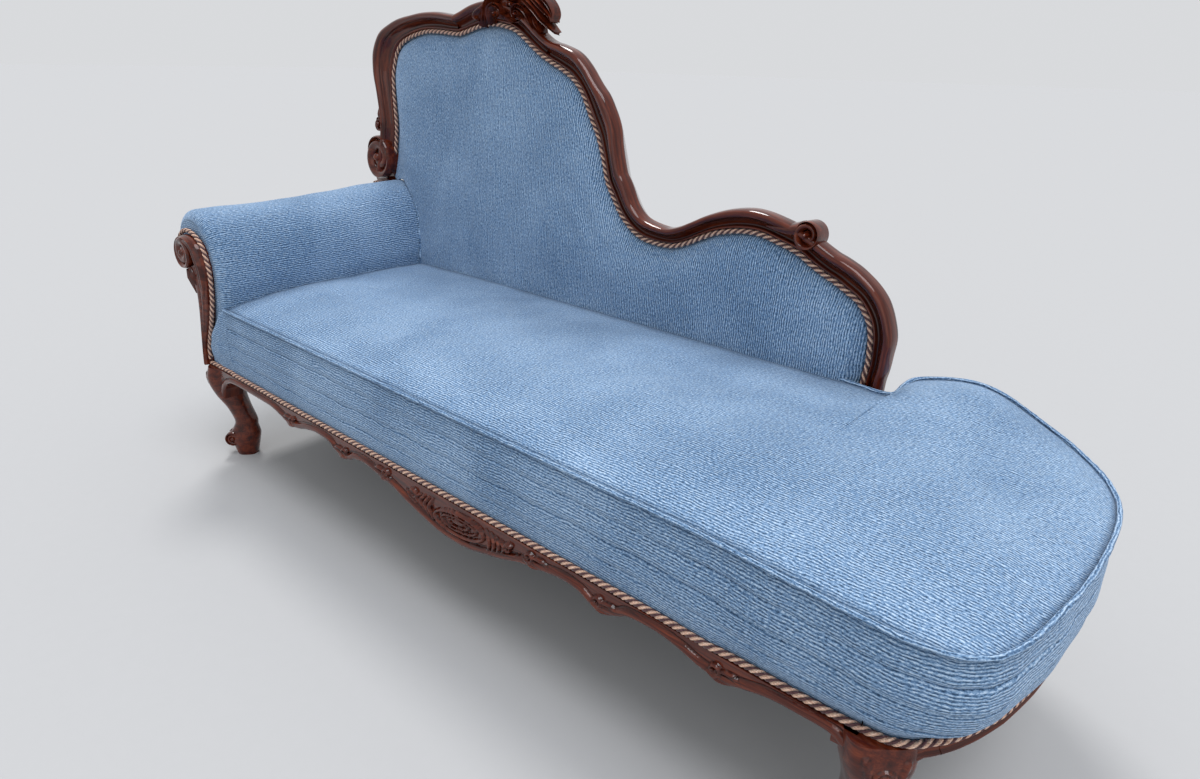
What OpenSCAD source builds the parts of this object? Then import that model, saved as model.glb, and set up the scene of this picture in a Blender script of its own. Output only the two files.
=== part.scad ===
/* [Seat] */
// Length of the seat, from the arm's inner face to the tip of the foot end
seat_l = 1711; // [1600:1:1850]
// Depth of the seat in front of the backrest
well_d = 550; // [480:1:620]
// How much deeper the foot end is than that
widening = 108; // [80:1:140]
// Height of the upholstery's lower edge above the floor
base_h = 248; // [220:1:300]
// Height of the boxing, from its lower edge to the seam
boxing_h = 161; // [140:1:200]
// Rise of the crowned top above the seam
crown_h = 30; // [10:1:45]
// Thickness of the fabric with its wadding
cover_t = 4; // [2:0.5:6]
// Inward tuck of the boxing's lower edge at the foot end
base_tuck = 22; // [8:1:26]
// Outward swell of the boxing at half height
boxing_swell = 6; // [2:1:10]
// Diameter of the seam's piping
welt_d = 7; // [4:0.5:10]

/* [Frame] */
// Thickness of the seat rails
rail_t = 32; // [24:1:40]
// Height of the seat rails above the upholstery's lower edge
rail_h = 62; // [50:1:75]
// Depth of the foot end's show wood below the cord
apron_h = 34; // [24:1:50]
// Depth of the front apron's centre below the cord
lobe_h = 77; // [70:1:95]
// Diameter of the rounded bead along the aprons' lower edges
bead_d = 13; // [8:1:15]
// Width of a leg's knee
knee_w = 80; // [66:1:90]
// Width of a leg's ankle
ankle_w = 56; // [44:1:64]

/* [Backrest] */
// Room between the backrest's right end and the foot end's rear corner
end_room = 11.5; // [8:0.5:60]
// Height of the backrest's fabric panel above the upholstery's lower edge
back_h = 776; // [680:1:860]
// Overhang of the fabric panel past the arm's inner face
back_side = 91; // [70:1:110]
// Lean of the backrest, in degrees
lean = 3; // [0:0.5:8]
// Width of the moulded frame
frame_w = 56; // [46:1:64]
// Height of the outer bead in front of the fabric's edge
bead_proud = 28; // [18:1:34]
// Depth of the frame behind the fabric's edge
frame_back = 50; // [40:1:58]
// Puff of the back panel in front of the fabric's edge
back_puff = 25; // [18:1:32]
// Height of the crest carving above the fabric's highest point
crest_rise = 92; // [60:1:120]

/* [Arm] */
// Overhang of the arm past its inner face
arm_w = 203; // [180:1:230]
// Height of the arm above the upholstery's lower edge
arm_h = 372; // [330:1:420]
// Thickness of the carved arm facing
facing_t = 34; // [26:1:40]
// Radius of the facing's volute
volute_r = 46; // [38:1:52]

/* [Trim] */
// Diameter of the twisted cord
cord_d = 9; // [6:0.5:11]
// Clearance between pieces that don't press on each other
gap = 0.3; // [0.2:0.05:0.5]

/* [Hidden] */

wood = [0.24, 0.07, 0.045];
inner_wood = [0.72, 0.58, 0.4];
fabric = [0.37, 0.5, 0.64];
rope = [0.85, 0.65, 0.54];
web = [0.5, 0.44, 0.34];
foam = [0.93, 0.87, 0.62];

eps = 0.01 * cover_t;
seam_h = base_h + boxing_h;
rail_top = base_h + rail_h;
web_t = 0.5 * cover_t;
web_w = 1.9 * rail_t;
cross_first_share = 0.03;
cross_step_share = 0.075;
ledge = cord_d;
cord_r = cord_d / 2;
welt_r = welt_d / 2;
seat_d = well_d + widening;
back_y = well_d + back_puff;
// Share of the seat's length at which its foot end widens behind the backrest
widen_share = 0.785;
// Length of the backrest's fabric panel
back_l = widen_share * seat_l - end_room - 0.85 * frame_w + back_side;

// Whole sizes, from which the origin is set
left_reach = 0.05 * back_l + back_side + 0.86 * frame_w;
right_reach = seat_l + welt_d + gap;
front_reach = 0.022 * seat_d + welt_d + gap;
rear_reach = seat_d + welt_d + gap;
mid = [(right_reach - left_reach) / 2, (rear_reach - front_reach) / 2, 0];

module placed() translate(-mid) children();

// Turns the backrest's upright frame about the seam's height
module leaned()
    placed() translate([0, back_y, seam_h]) rotate([-lean, 0, 0]) translate([0, 0, -seam_h]) children();

function lerp(a, b, t) = a + (b - a) * t;
function unit(v) = v / norm(v);
function total(v, i = 0) = i < len(v) ? v[i] + total(v, i + 1) : 0;
function scaled(p, size) = [for (i = [0:len(p) - 1]) p[i] * size[i]];

// A point of the smooth curve through p, a share t of the way from point i to the next
function curve_at(p, i, t) =
    let (a = p[max(0, i - 1)], b = p[i], c = p[i + 1], d = p[min(len(p) - 1, i + 2)])
    (2 * b + (c - a) * t + (2 * a - 5 * b + 4 * c - d) * t * t + (3 * b - a - 3 * c + d) * t * t * t) / 2;

// The curve through p with n steps between its points, without its last point
function run(p, n) = [for (i = [0:len(p) - 2]) for (k = [0:n - 1]) curve_at(p, i, k / n)];
function full_run(p, n) = concat(run(p, n), [p[len(p) - 1]]);

// Six times the signed volume under a triangle, and the total over all faces
function under(p, f) = total([for (i = [1:len(f) - 2]) cross(p[f[0]], p[f[i]]) * p[f[i + 1]]]);
module solid(points, faces) {
    inside_out = total([for (f = faces) under(points, f)]) > 0;
    polyhedron(points, inside_out ? [for (f = faces) [for (i = [len(f) - 1:-1:0]) f[i]]] : faces);
}

// Skins a row of rings that have the same number of points, and closes both ends, with fans of
// triangles where the end rings aren't flat
module loft(rings, fans = false) {
    n = len(rings[0]);
    last = (len(rings) - 1) * n;
    walls = [for (i = [0:len(rings) - 2]) for (j = [0:n - 1]) for (half = [0, 1])
        let (a = i * n + j, b = i * n + (j + 1) % n) half == 0 ? [a, b, b + n] : [a, b + n, a + n]];
    caps = fans
        ? [for (j = [1:n - 2]) for (end = [0, 1]) end == 0 ? [0, j + 1, j] : [last, last + j, last + j + 1]]
        : [[for (j = [n - 1:-1:0]) j], [for (j = [0:n - 1]) last + j]];
    solid([for (r = rings) for (p = r) p], concat(walls, caps));
}

// Unit direction and mitre stretch at point i of an open path in a plane
function way(p, i) = unit(
    (i > 0 ? unit(p[i] - p[i - 1]) : p[1] * 0) + (i < len(p) - 1 ? unit(p[i + 1] - p[i]) : p[1] * 0));
function mitre(p, i) = i == 0 || i == len(p) - 1 ? 1 : 1 / (unit(p[i + 1] - p[i]) * way(p, i));
function left_of(v) = [-v[1], v[0]];
function aside(p, i, t) = p[i] + left_of(way(p, i)) * mitre(p, i) * t;
function beside(p, t) = [for (i = [0:len(p) - 1]) aside(p, i, t)];

// The same on a closed path that runs anticlockwise, where t points outwards
function loop_way(p, i) = let (n = len(p)) unit(
    unit(p[i] - p[(i + n - 1) % n]) + unit(p[(i + 1) % n] - p[i]));
function outward(p, i) = -left_of(loop_way(p, i));

// A round section, as offsets across and along a depth
function round_section(r, n, across, deep) =
    [for (k = [0:n - 1]) [across + r * cos(360 * k / n), deep + r * sin(360 * k / n)]];

// A spiral bead in the XY plane that thins towards its eye
module spiral(r_out, r_eye, turns, bead, start, hand, sides = 6, steps = 22) {
    rings = [for (i = [0:steps])
        let (s = i / steps, a = start + hand * 360 * turns * s, r = lerp(r_out, r_eye, s),
            b = lerp(bead, 0.6 * bead, s))
        [for (k = [0:sides - 1]) let (w = 360 * (k + 0.5) / sides, q = r + b * cos(w))
            [q * cos(a), q * sin(a), b * sin(w)]]];
    loft(rings);
    drum(r_eye, -0.5 * bead, bead, 12);
}

// A flat-sided drum along Z
module drum(r, z0, z1, sides) loft([for (z = [z0, z1])
    [for (k = [0:sides - 1]) [r * cos(360 * (k + 0.3) / sides), r * sin(360 * (k + 0.3) / sides), z]]]);

// Outline of the seat in shares of its size: the front edge from the arm to the foot end, the rear edge
// in front of the backrest, where it widens from the well's depth to the whole depth, and past that
front_shares = [[0, 0], [0.1, 0], [0.2, 0], [0.3, 0], [0.4, 0], [0.5, 0], [0.6, 0], [0.69, 0],
    [0.748, 0], [0.77, -0.002], [0.779, -0.003], [0.79, -0.004], [0.812, -0.008], [0.848, -0.014],
    [0.89, -0.02], [0.93, -0.022], [0.958, -0.004], [0.975, 0.036]];
well_shares = [0, 0.1, 0.2, 0.3, 0.4, 0.5, 0.6, 0.69, 0.74];
widening_shares = [[widen_share, -0.127], [0.786, 0.391], [0.789, 0.787], [0.808, 0.982], [0.846, 1]];
rear_shares = [[0.887, 0.978], [0.929, 0.915], [0.961, 0.835], [0.981, 0.77]];
end_shares = [[0.975, 0.036], [0.984, 0.1], [0.991, 0.2], [0.997, 0.32], [1, 0.455], [0.999, 0.59],
    [0.993, 0.69], [0.981, 0.77]];
// How far the boxing's foot is tucked in round the foot end, counted in base_tuck
tuck_shares = [0.27, 0.46, 0.68, 1.05, 1.87, 2.05, 1.73, 1.2, 1, 0.9, 0.9, 1, 1.3, 1.5, 1.3, 0.9, 0.5,
    0.3, 0.15];
tuck_start_n = 12;

seat_size = [seat_l, seat_d];
nu = len(front_shares) - 1;
nv = len(end_shares) - 1;
front_edge = [for (p = front_shares) scaled(p, seat_size)];
rear_edge = concat([for (s = well_shares) [s * seat_l, well_d]],
    [for (p = widening_shares) [p[0] * seat_l, lerp(well_d, seat_d, p[1])]],
    [for (p = rear_shares) scaled(p, seat_size)]);
end_edge = [for (p = end_shares) scaled(p, seat_size)];
seat_rim = concat(front_edge, [for (j = [1:nv - 1]) end_edge[j]], [for (i = [nu:-1:0]) rear_edge[i]],
    [for (j = [nv - 1:-1:1]) [0, well_d * j / nv]]);
rim_n = len(seat_rim);
// Numbers of the rim's points where the well in front of the backrest ends and begins
well_end = 2 * nu + nv - len(well_shares) + 1;
rim_rear_left = 2 * nu + nv;

function tuck(k) =
    k < tuck_start_n || k >= tuck_start_n + len(tuck_shares) ? 0 : tuck_shares[k - tuck_start_n];
function in_well(k) = k >= well_end && k <= rim_rear_left;
// A ring of the seat's side, moved out by off, with the foot's tuck taken to a share and the well's
// side leaning with the backrest
function rim_ring(z, off, tucked) = [for (k = [0:rim_n - 1])
    let (q = seat_rim[k] + (k == 0 ? [gap, -off] : k > rim_rear_left ? [gap, 0]
            : outward(seat_rim, k) * (in_well(k) ? -gap : off - tucked * tuck(k) * base_tuck)))
    [q[0], q[1] - (in_well(k) ? (seam_h - z) * tan(lean) : 0), z]];
// The same as a flat outline
function rim_flat(off, tucked) = [for (k = [0:rim_n - 1])
    seat_rim[k] + outward(seat_rim, k) * (off - tucked * tuck(k) * base_tuck)
        - [0, in_well(k) ? boxing_h * tan(lean) : 0]];

// Rise of the top over the seam, which stays up along the backrest and the arm
function crown(i, j) = let (v = 2 * j / nv - 1, keep = i <= len(well_shares) - 1 ? 0.25 : 1,
    along = i <= 11 ? 1 - 0.25 * pow(1 - min(1, i / 2), 2) : 1 - pow((i - 11) / (nu - 11), 2.5))
    crown_h * along * (v < 0 ? 1 - pow(-v, 2.5) : 1 - keep * pow(v, 2.5));
function rim_rise(k) = k <= nu ? 0 : k <= nu + nv ? 0
    : k <= rim_rear_left ? crown(rim_rear_left - k, nv) : crown(0, rim_n - k);
// A point of the top's grid: across the seat, pushed out towards the rounded foot end
function top_point(i, j) = let (v = j / nv, bulge = end_edge[j] - lerp(end_edge[0], end_edge[nv], v),
    q = lerp(front_edge[i], rear_edge[i], v) + bulge * pow(i / nu, 12))
    [q[0], q[1], seam_h + crown(i, j)];

// Heights of the boxing's rings as shares of it, with their swell and tuck
boxing_shares = [[0, 0, 1], [0.065, 0, 1], [0.2, 0.6, 0.5], [0.38, 0.95, 0.2], [0.6, 0.95, 0],
    [0.82, 0.55, 0], [1, 0, 0]];

module seat_form() {
    n = len(boxing_shares);
    rings = [for (b = boxing_shares) rim_ring(base_h + b[0] * boxing_h, b[1] * boxing_swell, b[2])];
    top_ring = [for (k = [0:rim_n - 1]) rings[n - 1][k] + [0, 0, rim_rise(k)]];
    inner = [for (i = [1:nu - 1]) for (j = [1:nv - 1]) top_point(i, j)];
    rim0 = (n - 1) * rim_n;
    walls = [for (i = [0:n - 2]) for (k = [0:rim_n - 1]) for (half = [0, 1])
        let (a = i * rim_n + k, b = i * rim_n + (k + 1) % rim_n)
        half == 0 ? [a, b, b + rim_n] : [a, b + rim_n, a + rim_n]];
    function at(i, j) = j == 0 ? rim0 + i : i == nu ? rim0 + nu + j : j == nv ? rim0 + rim_rear_left - i
        : i == 0 ? rim0 + rim_n - j : rim0 + rim_n + (i - 1) * (nv - 1) + j - 1;
    tops = [for (i = [0:nu - 1]) for (j = [0:nv - 1]) for (half = [0, 1])
        half == 0 ? [at(i, j), at(i + 1, j), at(i + 1, j + 1)] : [at(i, j), at(i + 1, j + 1), at(i, j + 1)]];
    low_rings = [for (i = [0:n - 2]) for (p = rings[i]) p];
    solid(concat(low_rings, top_ring, inner), concat(walls, tops, [[for (k = [rim_n - 1:-1:0]) k]]));
}

// Fabric's fold in front of the arm, from the seam's corner down to the apron
fold_shares = [[0.03, 0], [0.03, 0.985], [-0.2, 0.96], [-0.335, 0.875], [-0.375, 0.78], [-0.48, 0.64],
    [-0.56, 0.5], [-0.585, 0.35], [-0.59, 0]];
module fold_outline() polygon([for (p = fold_shares) scaled(p, [arm_w, boxing_h])]);

// Height of the room inside the cover for the rails and the webbing, from below the rails
frame_room = rail_t + rail_h + 2 * web_t + gap;
module seat_cover() color(fabric) placed() {
    difference() {
        seat_form();
        translate([0, 0, base_h - rail_t]) linear_extrude(frame_room) polygon(rim_flat(-cover_t, 1));
        translate([0, 0, base_h]) linear_extrude(boxing_h - cover_t)
            polygon(rim_flat(-cover_t - 0.3 * boxing_swell, 0.75));
        translate([-2 * cover_t, cover_t, base_h - rail_t]) cube([4 * cover_t, well_d, frame_room]);
        translate([-2 * cover_t, well_d - 6 * cover_t, base_h - rail_t])
            cube([rear_right_x, rear_y1 + gap + 6 * cover_t - well_d, frame_room]);
    }
    translate([0, cover_t, base_h]) rotate([90, 0, 0]) linear_extrude(cover_t) difference() {
        fold_outline();
        polygon(facing_points(gap));
    }
}

// Round piping along the seam, from the arm round the foot end to the backrest
module seat_welt() color(fabric) placed() loft([for (k = [0:well_end - 1])
    let (p = seat_rim[k], o = k == 0 ? [0, -1] : outward(seat_rim, k), z = seam_h + 0.6 * welt_r)
    [for (s = round_section(welt_r, 8, welt_r + gap, 0))
        [p[0] + o[0] * s[0], p[1] + o[1] * s[0], z + s[1]]]]);

// Twisted cord on the aprons' upper edge
function cord_ring(p, o) = [for (s = round_section(cord_r, 8, cord_r + gap, cord_r + gap))
    [p[0] + o[0] * s[0], p[1] + o[1] * s[0], base_h + s[1]]];
module seat_cord() {
    foot = rim_ring(base_h, 0, 1);
    start = fold_shares[len(fold_shares) - 1][0] * arm_w;
    color(rope) placed() loft(concat([cord_ring([start, 0], [0, -1])],
        [for (k = [1:well_end - 3]) cord_ring(foot[k], outward(seat_rim, k))]));
}

// Lower edge of the front apron, outwards from its centre: reach and depth
lobe_shares = [[0, 1], [0.05, 0.97], [0.1, 0.85], [0.16, 0.68], [0.21, 0.5], [0.26, 0.41], [0.32, 0.3],
    [0.365, 0.34], [0.395, 0.48], [0.425, 0.5], [0.455, 0.42], [0.485, 0.27], [0.54, 0.23], [0.59, 0.31],
    [0.635, 0.44], [0.68, 0.47], [0.715, 0.37], [0.76, 0.25], [0.81, 0.22]];
lobe_x = 0.482 * seat_l;
lobe_half = 0.48 * seat_l;
left_angle = 225;
right_angle = 310;
rear_angles = [130, 50];
left_leg = [-0.46 * arm_w, 0.35 * knee_w];
right_leg = [0.916 * seat_l, 0.35 * knee_w];
block = 0.8 * knee_w;
apron_ends = [left_leg[0] + block / 2 + gap, right_leg[0] - block / 2 - gap];
knee_drop_shares = [[0, 1], [0.16, 0.62], [0.45, 0.34], [1, 0.22]];

// Points of the apron's lower edge from left to right, as places along it and depths: each run of shares
// counts from x in a width
function turned(p) = [for (i = [len(p) - 1:-1:0]) p[i]];
function edge_run(shares, x, width) = [for (p = shares) [x + p[0] * width, -p[1] * lobe_h]];
apron_line = full_run(concat(
    edge_run(knee_drop_shares, apron_ends[0], 1.1 * knee_w),
    edge_run(turned(lobe_shares), lobe_x, -lobe_half),
    edge_run([for (i = [1:len(lobe_shares) - 1]) lobe_shares[i]], lobe_x, lobe_half),
    edge_run(turned(knee_drop_shares), apron_ends[1], -0.42 * knee_w)), 2);

// Board of the apron with a raised bead along its lower edge, as places up from the edge and forward,
// in one piece with the rail behind the upholstery
bead_shares = [[0, 0], [0.1, 0.5], [0.7, 1], [1.15, 0.8], [1.5, 0], [1.7, -0.25], [1.95, 0]];
module apron_board() {
    r = bead_d / 2;
    front = 2 * cover_t;
    rear = cover_t + rail_t;
    loft([for (i = [0:len(apron_line) - 1]) let (q = apron_line[i], up = min(1.6, 1 / way(apron_line, i)[0]))
        concat([for (s = bead_shares) [q[0], -ledge - s[1] * 0.6 * r, q[1] + up * s[0] * r]],
            [[q[0], -ledge, 0], [q[0], front, 0], [q[0], front, rail_h], [q[0], rear, rail_h],
                [q[0], rear, q[1]]])]);
}

// Oval carved ring of the centre cartouche
module cartouche_ring(rx, rz, bead) {
    n = 28;
    path = [for (i = [0:n - 1]) [rx * cos(360 * i / n), rz * sin(360 * i / n)]];
    points = [for (i = [0:n - 1]) for (s = round_section(bead, 6, 0, 0))
        let (o = outward(path, i)) [path[i][0] + o[0] * s[0], -ledge - s[1], path[i][1] + o[1] * s[0]]];
    faces = [for (i = [0:n - 1]) for (j = [0:5]) for (half = [0, 1])
        let (a = i * 6, b = (i + 1) % n * 6, next = (j + 1) % 6)
        half == 0 ? [a + j, a + next, b + next] : [a + j, b + next, b + j]];
    solid(points, faces);
}

module front_apron() color(wood) placed() translate([0, 0, base_h]) {
    apron_board();
    translate([lobe_x, 0, -0.5 * lobe_h]) {
        cartouche_ring(0.9 * lobe_h, 0.26 * lobe_h, 0.35 * bead_d);
        cartouche_ring(0.5 * lobe_h, 0.12 * lobe_h, 0.3 * bead_d);
    }
}

// Numbers of the rim's points between which the foot end's apron runs
end_first = nu - 3;
end_last = nu + nv + 4;
// Depth of the foot end's show wood from the one leg round to the other, counted in apron_h
end_depth_shares = [1, 0.95, 0.48, 0.42, 0.35, 0.27, 0.27, 0.27, 0.27, 0.27, 0.3, 0.4, 0.6, 0.9, 1];
// Its face, from the top down: how far out in bead_d, and how deep
end_face_shares = [[0, 0], [0, 0.3], [0.22, 0.45], [0.3, 0.62], [0.2, 0.85], [0, 1]];
function end_ring(k) = let (o = outward(seat_rim, k), foot = seat_rim[k] - o * tuck(k) * base_tuck,
    depth = end_depth_shares[k - end_first] * apron_h, hid = -cover_t - gap, back = -cover_t - rail_t,
    outline = concat([[hid, rail_h], [hid, 0]],
        [for (s = end_face_shares) [0.55 * ledge + s[0] * bead_d, -s[1] * depth]],
        [[back, -depth], [back, rail_h]]))
    [for (s = outline) [foot[0] + o[0] * s[0], foot[1] + o[1] * s[0], base_h + s[1]]];

// Keeps what lies past the two legs of the foot end
module past_legs() difference() {
    children();
    translate([0, -seat_d, 0]) cube([right_leg[0] + block / 2, 1.5 * seat_d, seam_h]);
    translate([0, 0, 0]) cube([rear_right_x + block / 2, 2 * seat_d, seam_h]);
}
module foot_end_apron() color(wood) placed() difference() {
    past_legs() loft([for (k = [end_first:end_last]) end_ring(k)]);
    translate(right_leg) leg_form(right_angle, gap);
    translate(leg_spots[3]) leg_form(rear_angles[1], gap);
}

// Front and rear of the rear rail, and the places of the legs
rear_y0 = back_y - (seam_h - rail_top) * tan(lean) + 0.2 * frame_back;
rear_y1 = rear_y0 + 0.8 * frame_back;
rear_leg_y = rear_y1 - block / 2;
rear_right_x = 0.862 * seat_l;
leg_spots = [left_leg, right_leg, [left_leg[0], rear_leg_y], [rear_right_x, rear_leg_y]];

module head_apron() color(wood) placed() {
    y0 = left_leg[1] + block / 2 + gap;
    y1 = rear_leg_y - block / 2 - gap;
    x = left_leg[0] - block / 2;
    translate([x, y0, base_h]) cube([rail_t, y1 - y0, rail_h]);
    translate([x - cover_t, y0, base_h - apron_h]) cube([rail_t + cover_t, y1 - y0, apron_h]);
}

// Bolts that stand between the seat's webbing bands and lean with the backrest
bolt_r = 0.12 * rail_t;
bolt_bands = [1, 5, 9];
bolt_l = apron_h + rail_h + rail_t;
function bolt_x(k) = (cross_first_share + cross_step_share * (k - 0.5)) * seat_l + web_w / 2;
module back_bolt_forms(r, extra) leaned() for (k = bolt_bands)
    translate([bolt_x(k), 0.5 * frame_back, rail_top + rail_t - bolt_l - extra])
        cylinder(r = r, h = bolt_l + 2 * extra, $fn = 24);
module back_bolts() color("silver") back_bolt_forms(bolt_r, 0);

module rear_rail() color(wood) difference() {
    x0 = left_leg[0] + block / 2 + gap;
    placed() translate([x0, rear_y0, base_h - apron_h])
        cube([rear_right_x - block / 2 - gap - x0, rear_y1 - rear_y0, apron_h + rail_h]);
    back_bolt_forms(bolt_r + gap, rail_t);
}

// Rails across the frame, between the front and the rear rail
cross_shares = [0.33, 0.7];
module cross_rails() color(inner_wood) placed() for (s = cross_shares) {
    y0 = cover_t + rail_t;
    translate([s * seat_l - rail_t / 2, y0, base_h]) cube([rail_t, rear_y0 - y0, rail_h - rail_t / 2]);
}

// Three-cornered blocks glued behind each leg
corner_turns = [0, 90, 270, 180];
block_leg = 1.5 * rail_t;
block_h = 0.6 * rail_h;
function corner_at(i) = i == 0 ? [left_leg[0] + block / 2, cover_t + rail_t]
    : i == 1 ? [right_leg[0] - block / 2, cover_t + rail_t]
    : i == 2 ? [left_leg[0] + block / 2, rear_y0] : [rear_right_x - block / 2, rear_y0];
module corner_blocks() color(inner_wood) placed() for (i = [0:3])
    translate([corner_at(i)[0], corner_at(i)[1], base_h]) rotate(corner_turns[i]) difference() {
        linear_extrude(block_h) polygon([[0, 0], [block_leg, 0], [0, block_leg]]);
        block_bore(screw_r + gap);
    }
screw_r = 0.08 * rail_t;
head_at = 0.5 * block_leg;
module block_bore(r) translate([block_leg / 3, -eps, block_h / 2]) rotate([-90, 0, 0]) {
    cylinder(r = r, h = block_leg, $fn = 24);
    translate([0, 0, head_at]) cylinder(r = 2 * screw_r + gap, h = block_leg, $fn = 24);
}
module block_screws() color("silver") placed() for (i = [0:3])
    translate([corner_at(i)[0], corner_at(i)[1], base_h]) rotate(corner_turns[i])
        translate([block_leg / 3, gap, block_h / 2]) rotate([-90, 0, 0]) {
            cylinder(r = screw_r, h = head_at, $fn = 24);
            translate([0, 0, head_at]) cylinder(r = 2 * screw_r, h = screw_r, $fn = 24);
        }

// Rings of a cabriole leg: height, lean outwards, size across and size along the rails
leg_shares = [[0, -0.13, 0.62, 0.5], [0.07, -0.13, 0.74, 0.58], [0.15, -0.13, 0.86, 0.64],
    [0.23, -0.15, 0.92, 0.62], [0.31, -0.2, 0.74, 0.56], [0.385, -0.23, 0.68, 0.56], [0.53, -0.09, 0.7, 0.62],
    [0.67, 0.07, 0.82, 0.74], [0.81, 0.12, 0.95, 0.9], [0.91, 0.12, 0.96, 0.92], [1, 0.06, 0.84, 0.84]];
module leg_form(turn, grow) rotate(turn)
    loft([for (q = leg_shares) [for (k = [0:11]) let (a = 30 * k, w = q[0] < 0.6 ? ankle_w / 0.7 : knee_w,
        ra = q[2] * w / 2 + grow, rb = q[3] * w / 2 + grow)
        [q[1] * knee_w + ra * cos(a), rb * sin(a), q[0] * (base_h + grow)]]]);
module leg(turn) {
    leg_form(turn, 0);
    rotate(turn) for (side = [-1, 1])
        translate([0.24 * knee_w, side * 0.26 * ankle_w, 0.2 * base_h]) rotate([-90 * side, 0, 0])
            spiral(0.2 * ankle_w, 0.07 * ankle_w, 1.1, 0.09 * ankle_w, 90, side, 6, 10);
}
module leg_block(x, y, sy) translate([x - block / 2, y, base_h - eps]) cube([block, sy, rail_h + eps]);

module front_left_leg() color(wood) placed() {
    translate(left_leg) leg(left_angle);
    leg_block(left_leg[0], 0.65 * facing_t, left_leg[1] + block / 2 - 0.65 * facing_t);
}
module front_right_leg() color(wood) placed() {
    translate(right_leg) leg(right_angle);
    leg_block(right_leg[0], 0.65 * facing_t, left_leg[1] + block / 2 - 0.65 * facing_t);
}
module rear_left_leg() color(wood) placed() {
    translate(leg_spots[2]) leg(rear_angles[0]);
    leg_block(leg_spots[2][0], rear_leg_y - block / 2, block);
}
module rear_right_leg() color(wood) placed() {
    translate(leg_spots[3]) leg(rear_angles[1]);
    leg_block(leg_spots[3][0], rear_leg_y - block / 2, block);
}

// The fabric's edge on the backrest, from the ear scroll to the left cusp, over the crest to the right
// cusp, and down the sweep: place along, height, width of the frame
left_shares = [[-0.019, 0.518, 0.95], [-0.009, 0.57, 0.95], [-0.001, 0.66, 1], [-0.001, 0.763, 1.1],
    [0.002, 0.86, 1.25], [0.028, 0.929, 1.1], [0.081, 0.969, 0.9], [0.132, 0.974, 0.85],
    [0.184, 0.966, 0.85]];
arch_shares = [[0.184, 0.966, 0.85], [0.222, 0.986, 0.85], [0.263, 0.997, 0.85], [0.303, 0.99, 0.9],
    [0.338, 0.968, 0.95], [0.366, 0.939, 1], [0.388, 0.911, 1]];
sweep_shares = [[0.388, 0.911, 1], [0.416, 0.893, 1], [0.446, 0.866, 1.05], [0.472, 0.823, 1.05],
    [0.503, 0.756, 1], [0.526, 0.684, 1], [0.549, 0.592, 0.95], [0.577, 0.516, 0.9], [0.619, 0.469, 0.85],
    [0.665, 0.456, 0.85], [0.711, 0.476, 0.9], [0.759, 0.51, 0.95], [0.806, 0.528, 1], [0.845, 0.519, 1],
    [0.884, 0.496, 1], [0.925, 0.463, 1], [0.964, 0.424, 1], [0.987, 0.386, 0.95], [0.998, 0.33, 0.9],
    [1, 0.256, 0.85], [1, 0.18, 0.85], [1, 0.11, 0.85]];
function back_points(shares) = [for (p = shares)
    [p[0] * back_l - back_side, base_h + p[1] * back_h, p[2] * frame_w]];
back_steps = 2;
back_run = concat(run(back_points(left_shares), back_steps), run(back_points(arch_shares), back_steps),
    full_run(back_points(sweep_shares), back_steps));
back_line = [for (p = back_run) [p[0], p[1]]];
cusp_a = (len(left_shares) - 1) * back_steps;
cusp_b = cusp_a + (len(arch_shares) - 1) * back_steps;
scroll_at = cusp_b + 14 * back_steps;
back_last = len(back_line) - 1;

// The moulding's section: across in shares of the frame's width, forward in shares of the bead's
// height, and backward in shares of the frame's depth
section_shares = [[0.03, 0.2, 0], [0.12, 0.34, 0], [0.2, 0.2, 0], [0.36, 0.2, 0], [0.52, 0.62, 0],
    [0.62, 0.68, 0], [0.74, 0.98, 0], [0.87, 0.92, 0], [0.97, 0.5, 0], [1, 0, 0.1], [0.93, 0, 0.42],
    [0.6, 0, 1], [0.1, 0, 1]];
// Its lip behind the fabric's edge
lip_w = 0.36 * frame_w;
lip_front = 0.2 * frame_back;
lip_rear = 0.92 * frame_back;
function frame_ring(i, grow = 0) = let (o = left_of(way(back_line, i)) * mitre(back_line, i),
    p = back_line[i], w = back_run[i][2],
    outline = concat([for (s = section_shares)
        [s[0] * w + (s[0] > 0.94 || s[2] > 0 ? grow : 0), s[2] * frame_back - s[1] * bead_proud - grow]],
        [[0.1 * w, lip_rear], [-lip_w, lip_rear], [-lip_w, lip_front], [0, lip_front]]))
    [for (s = outline) [p[0] + o[0] * s[0], s[1], p[1] + o[1] * s[0]]];
module moulding(first, last, grow = 0) loft([for (i = [first:last]) frame_ring(i, grow)]);

// A ring's edge at a distance from the fabric's edge and at a depth
function back_at(i, t, deep) = let (q = aside(back_line, i, t)) [q[0], deep, q[1]];

// Scroll at the stile's foot, and the bud over it
ear_r = 0.86 * frame_w;
ear_at = [-0.05 * back_l - back_side, base_h + 0.572 * back_h];
bud_at = [-0.027 * back_l - back_side - 0.45 * frame_w, base_h + 0.688 * back_h];
// Posts that carry the frame's two ends on the legs and the rail
post_y = [0.26 * frame_back, 0.9 * frame_back];
module above_rail() difference() {
    leaned() children();
    placed() translate([-2 * arm_w, 0, 0]) cube([2 * seat_l, 2 * seat_d, rail_top]);
}
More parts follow.
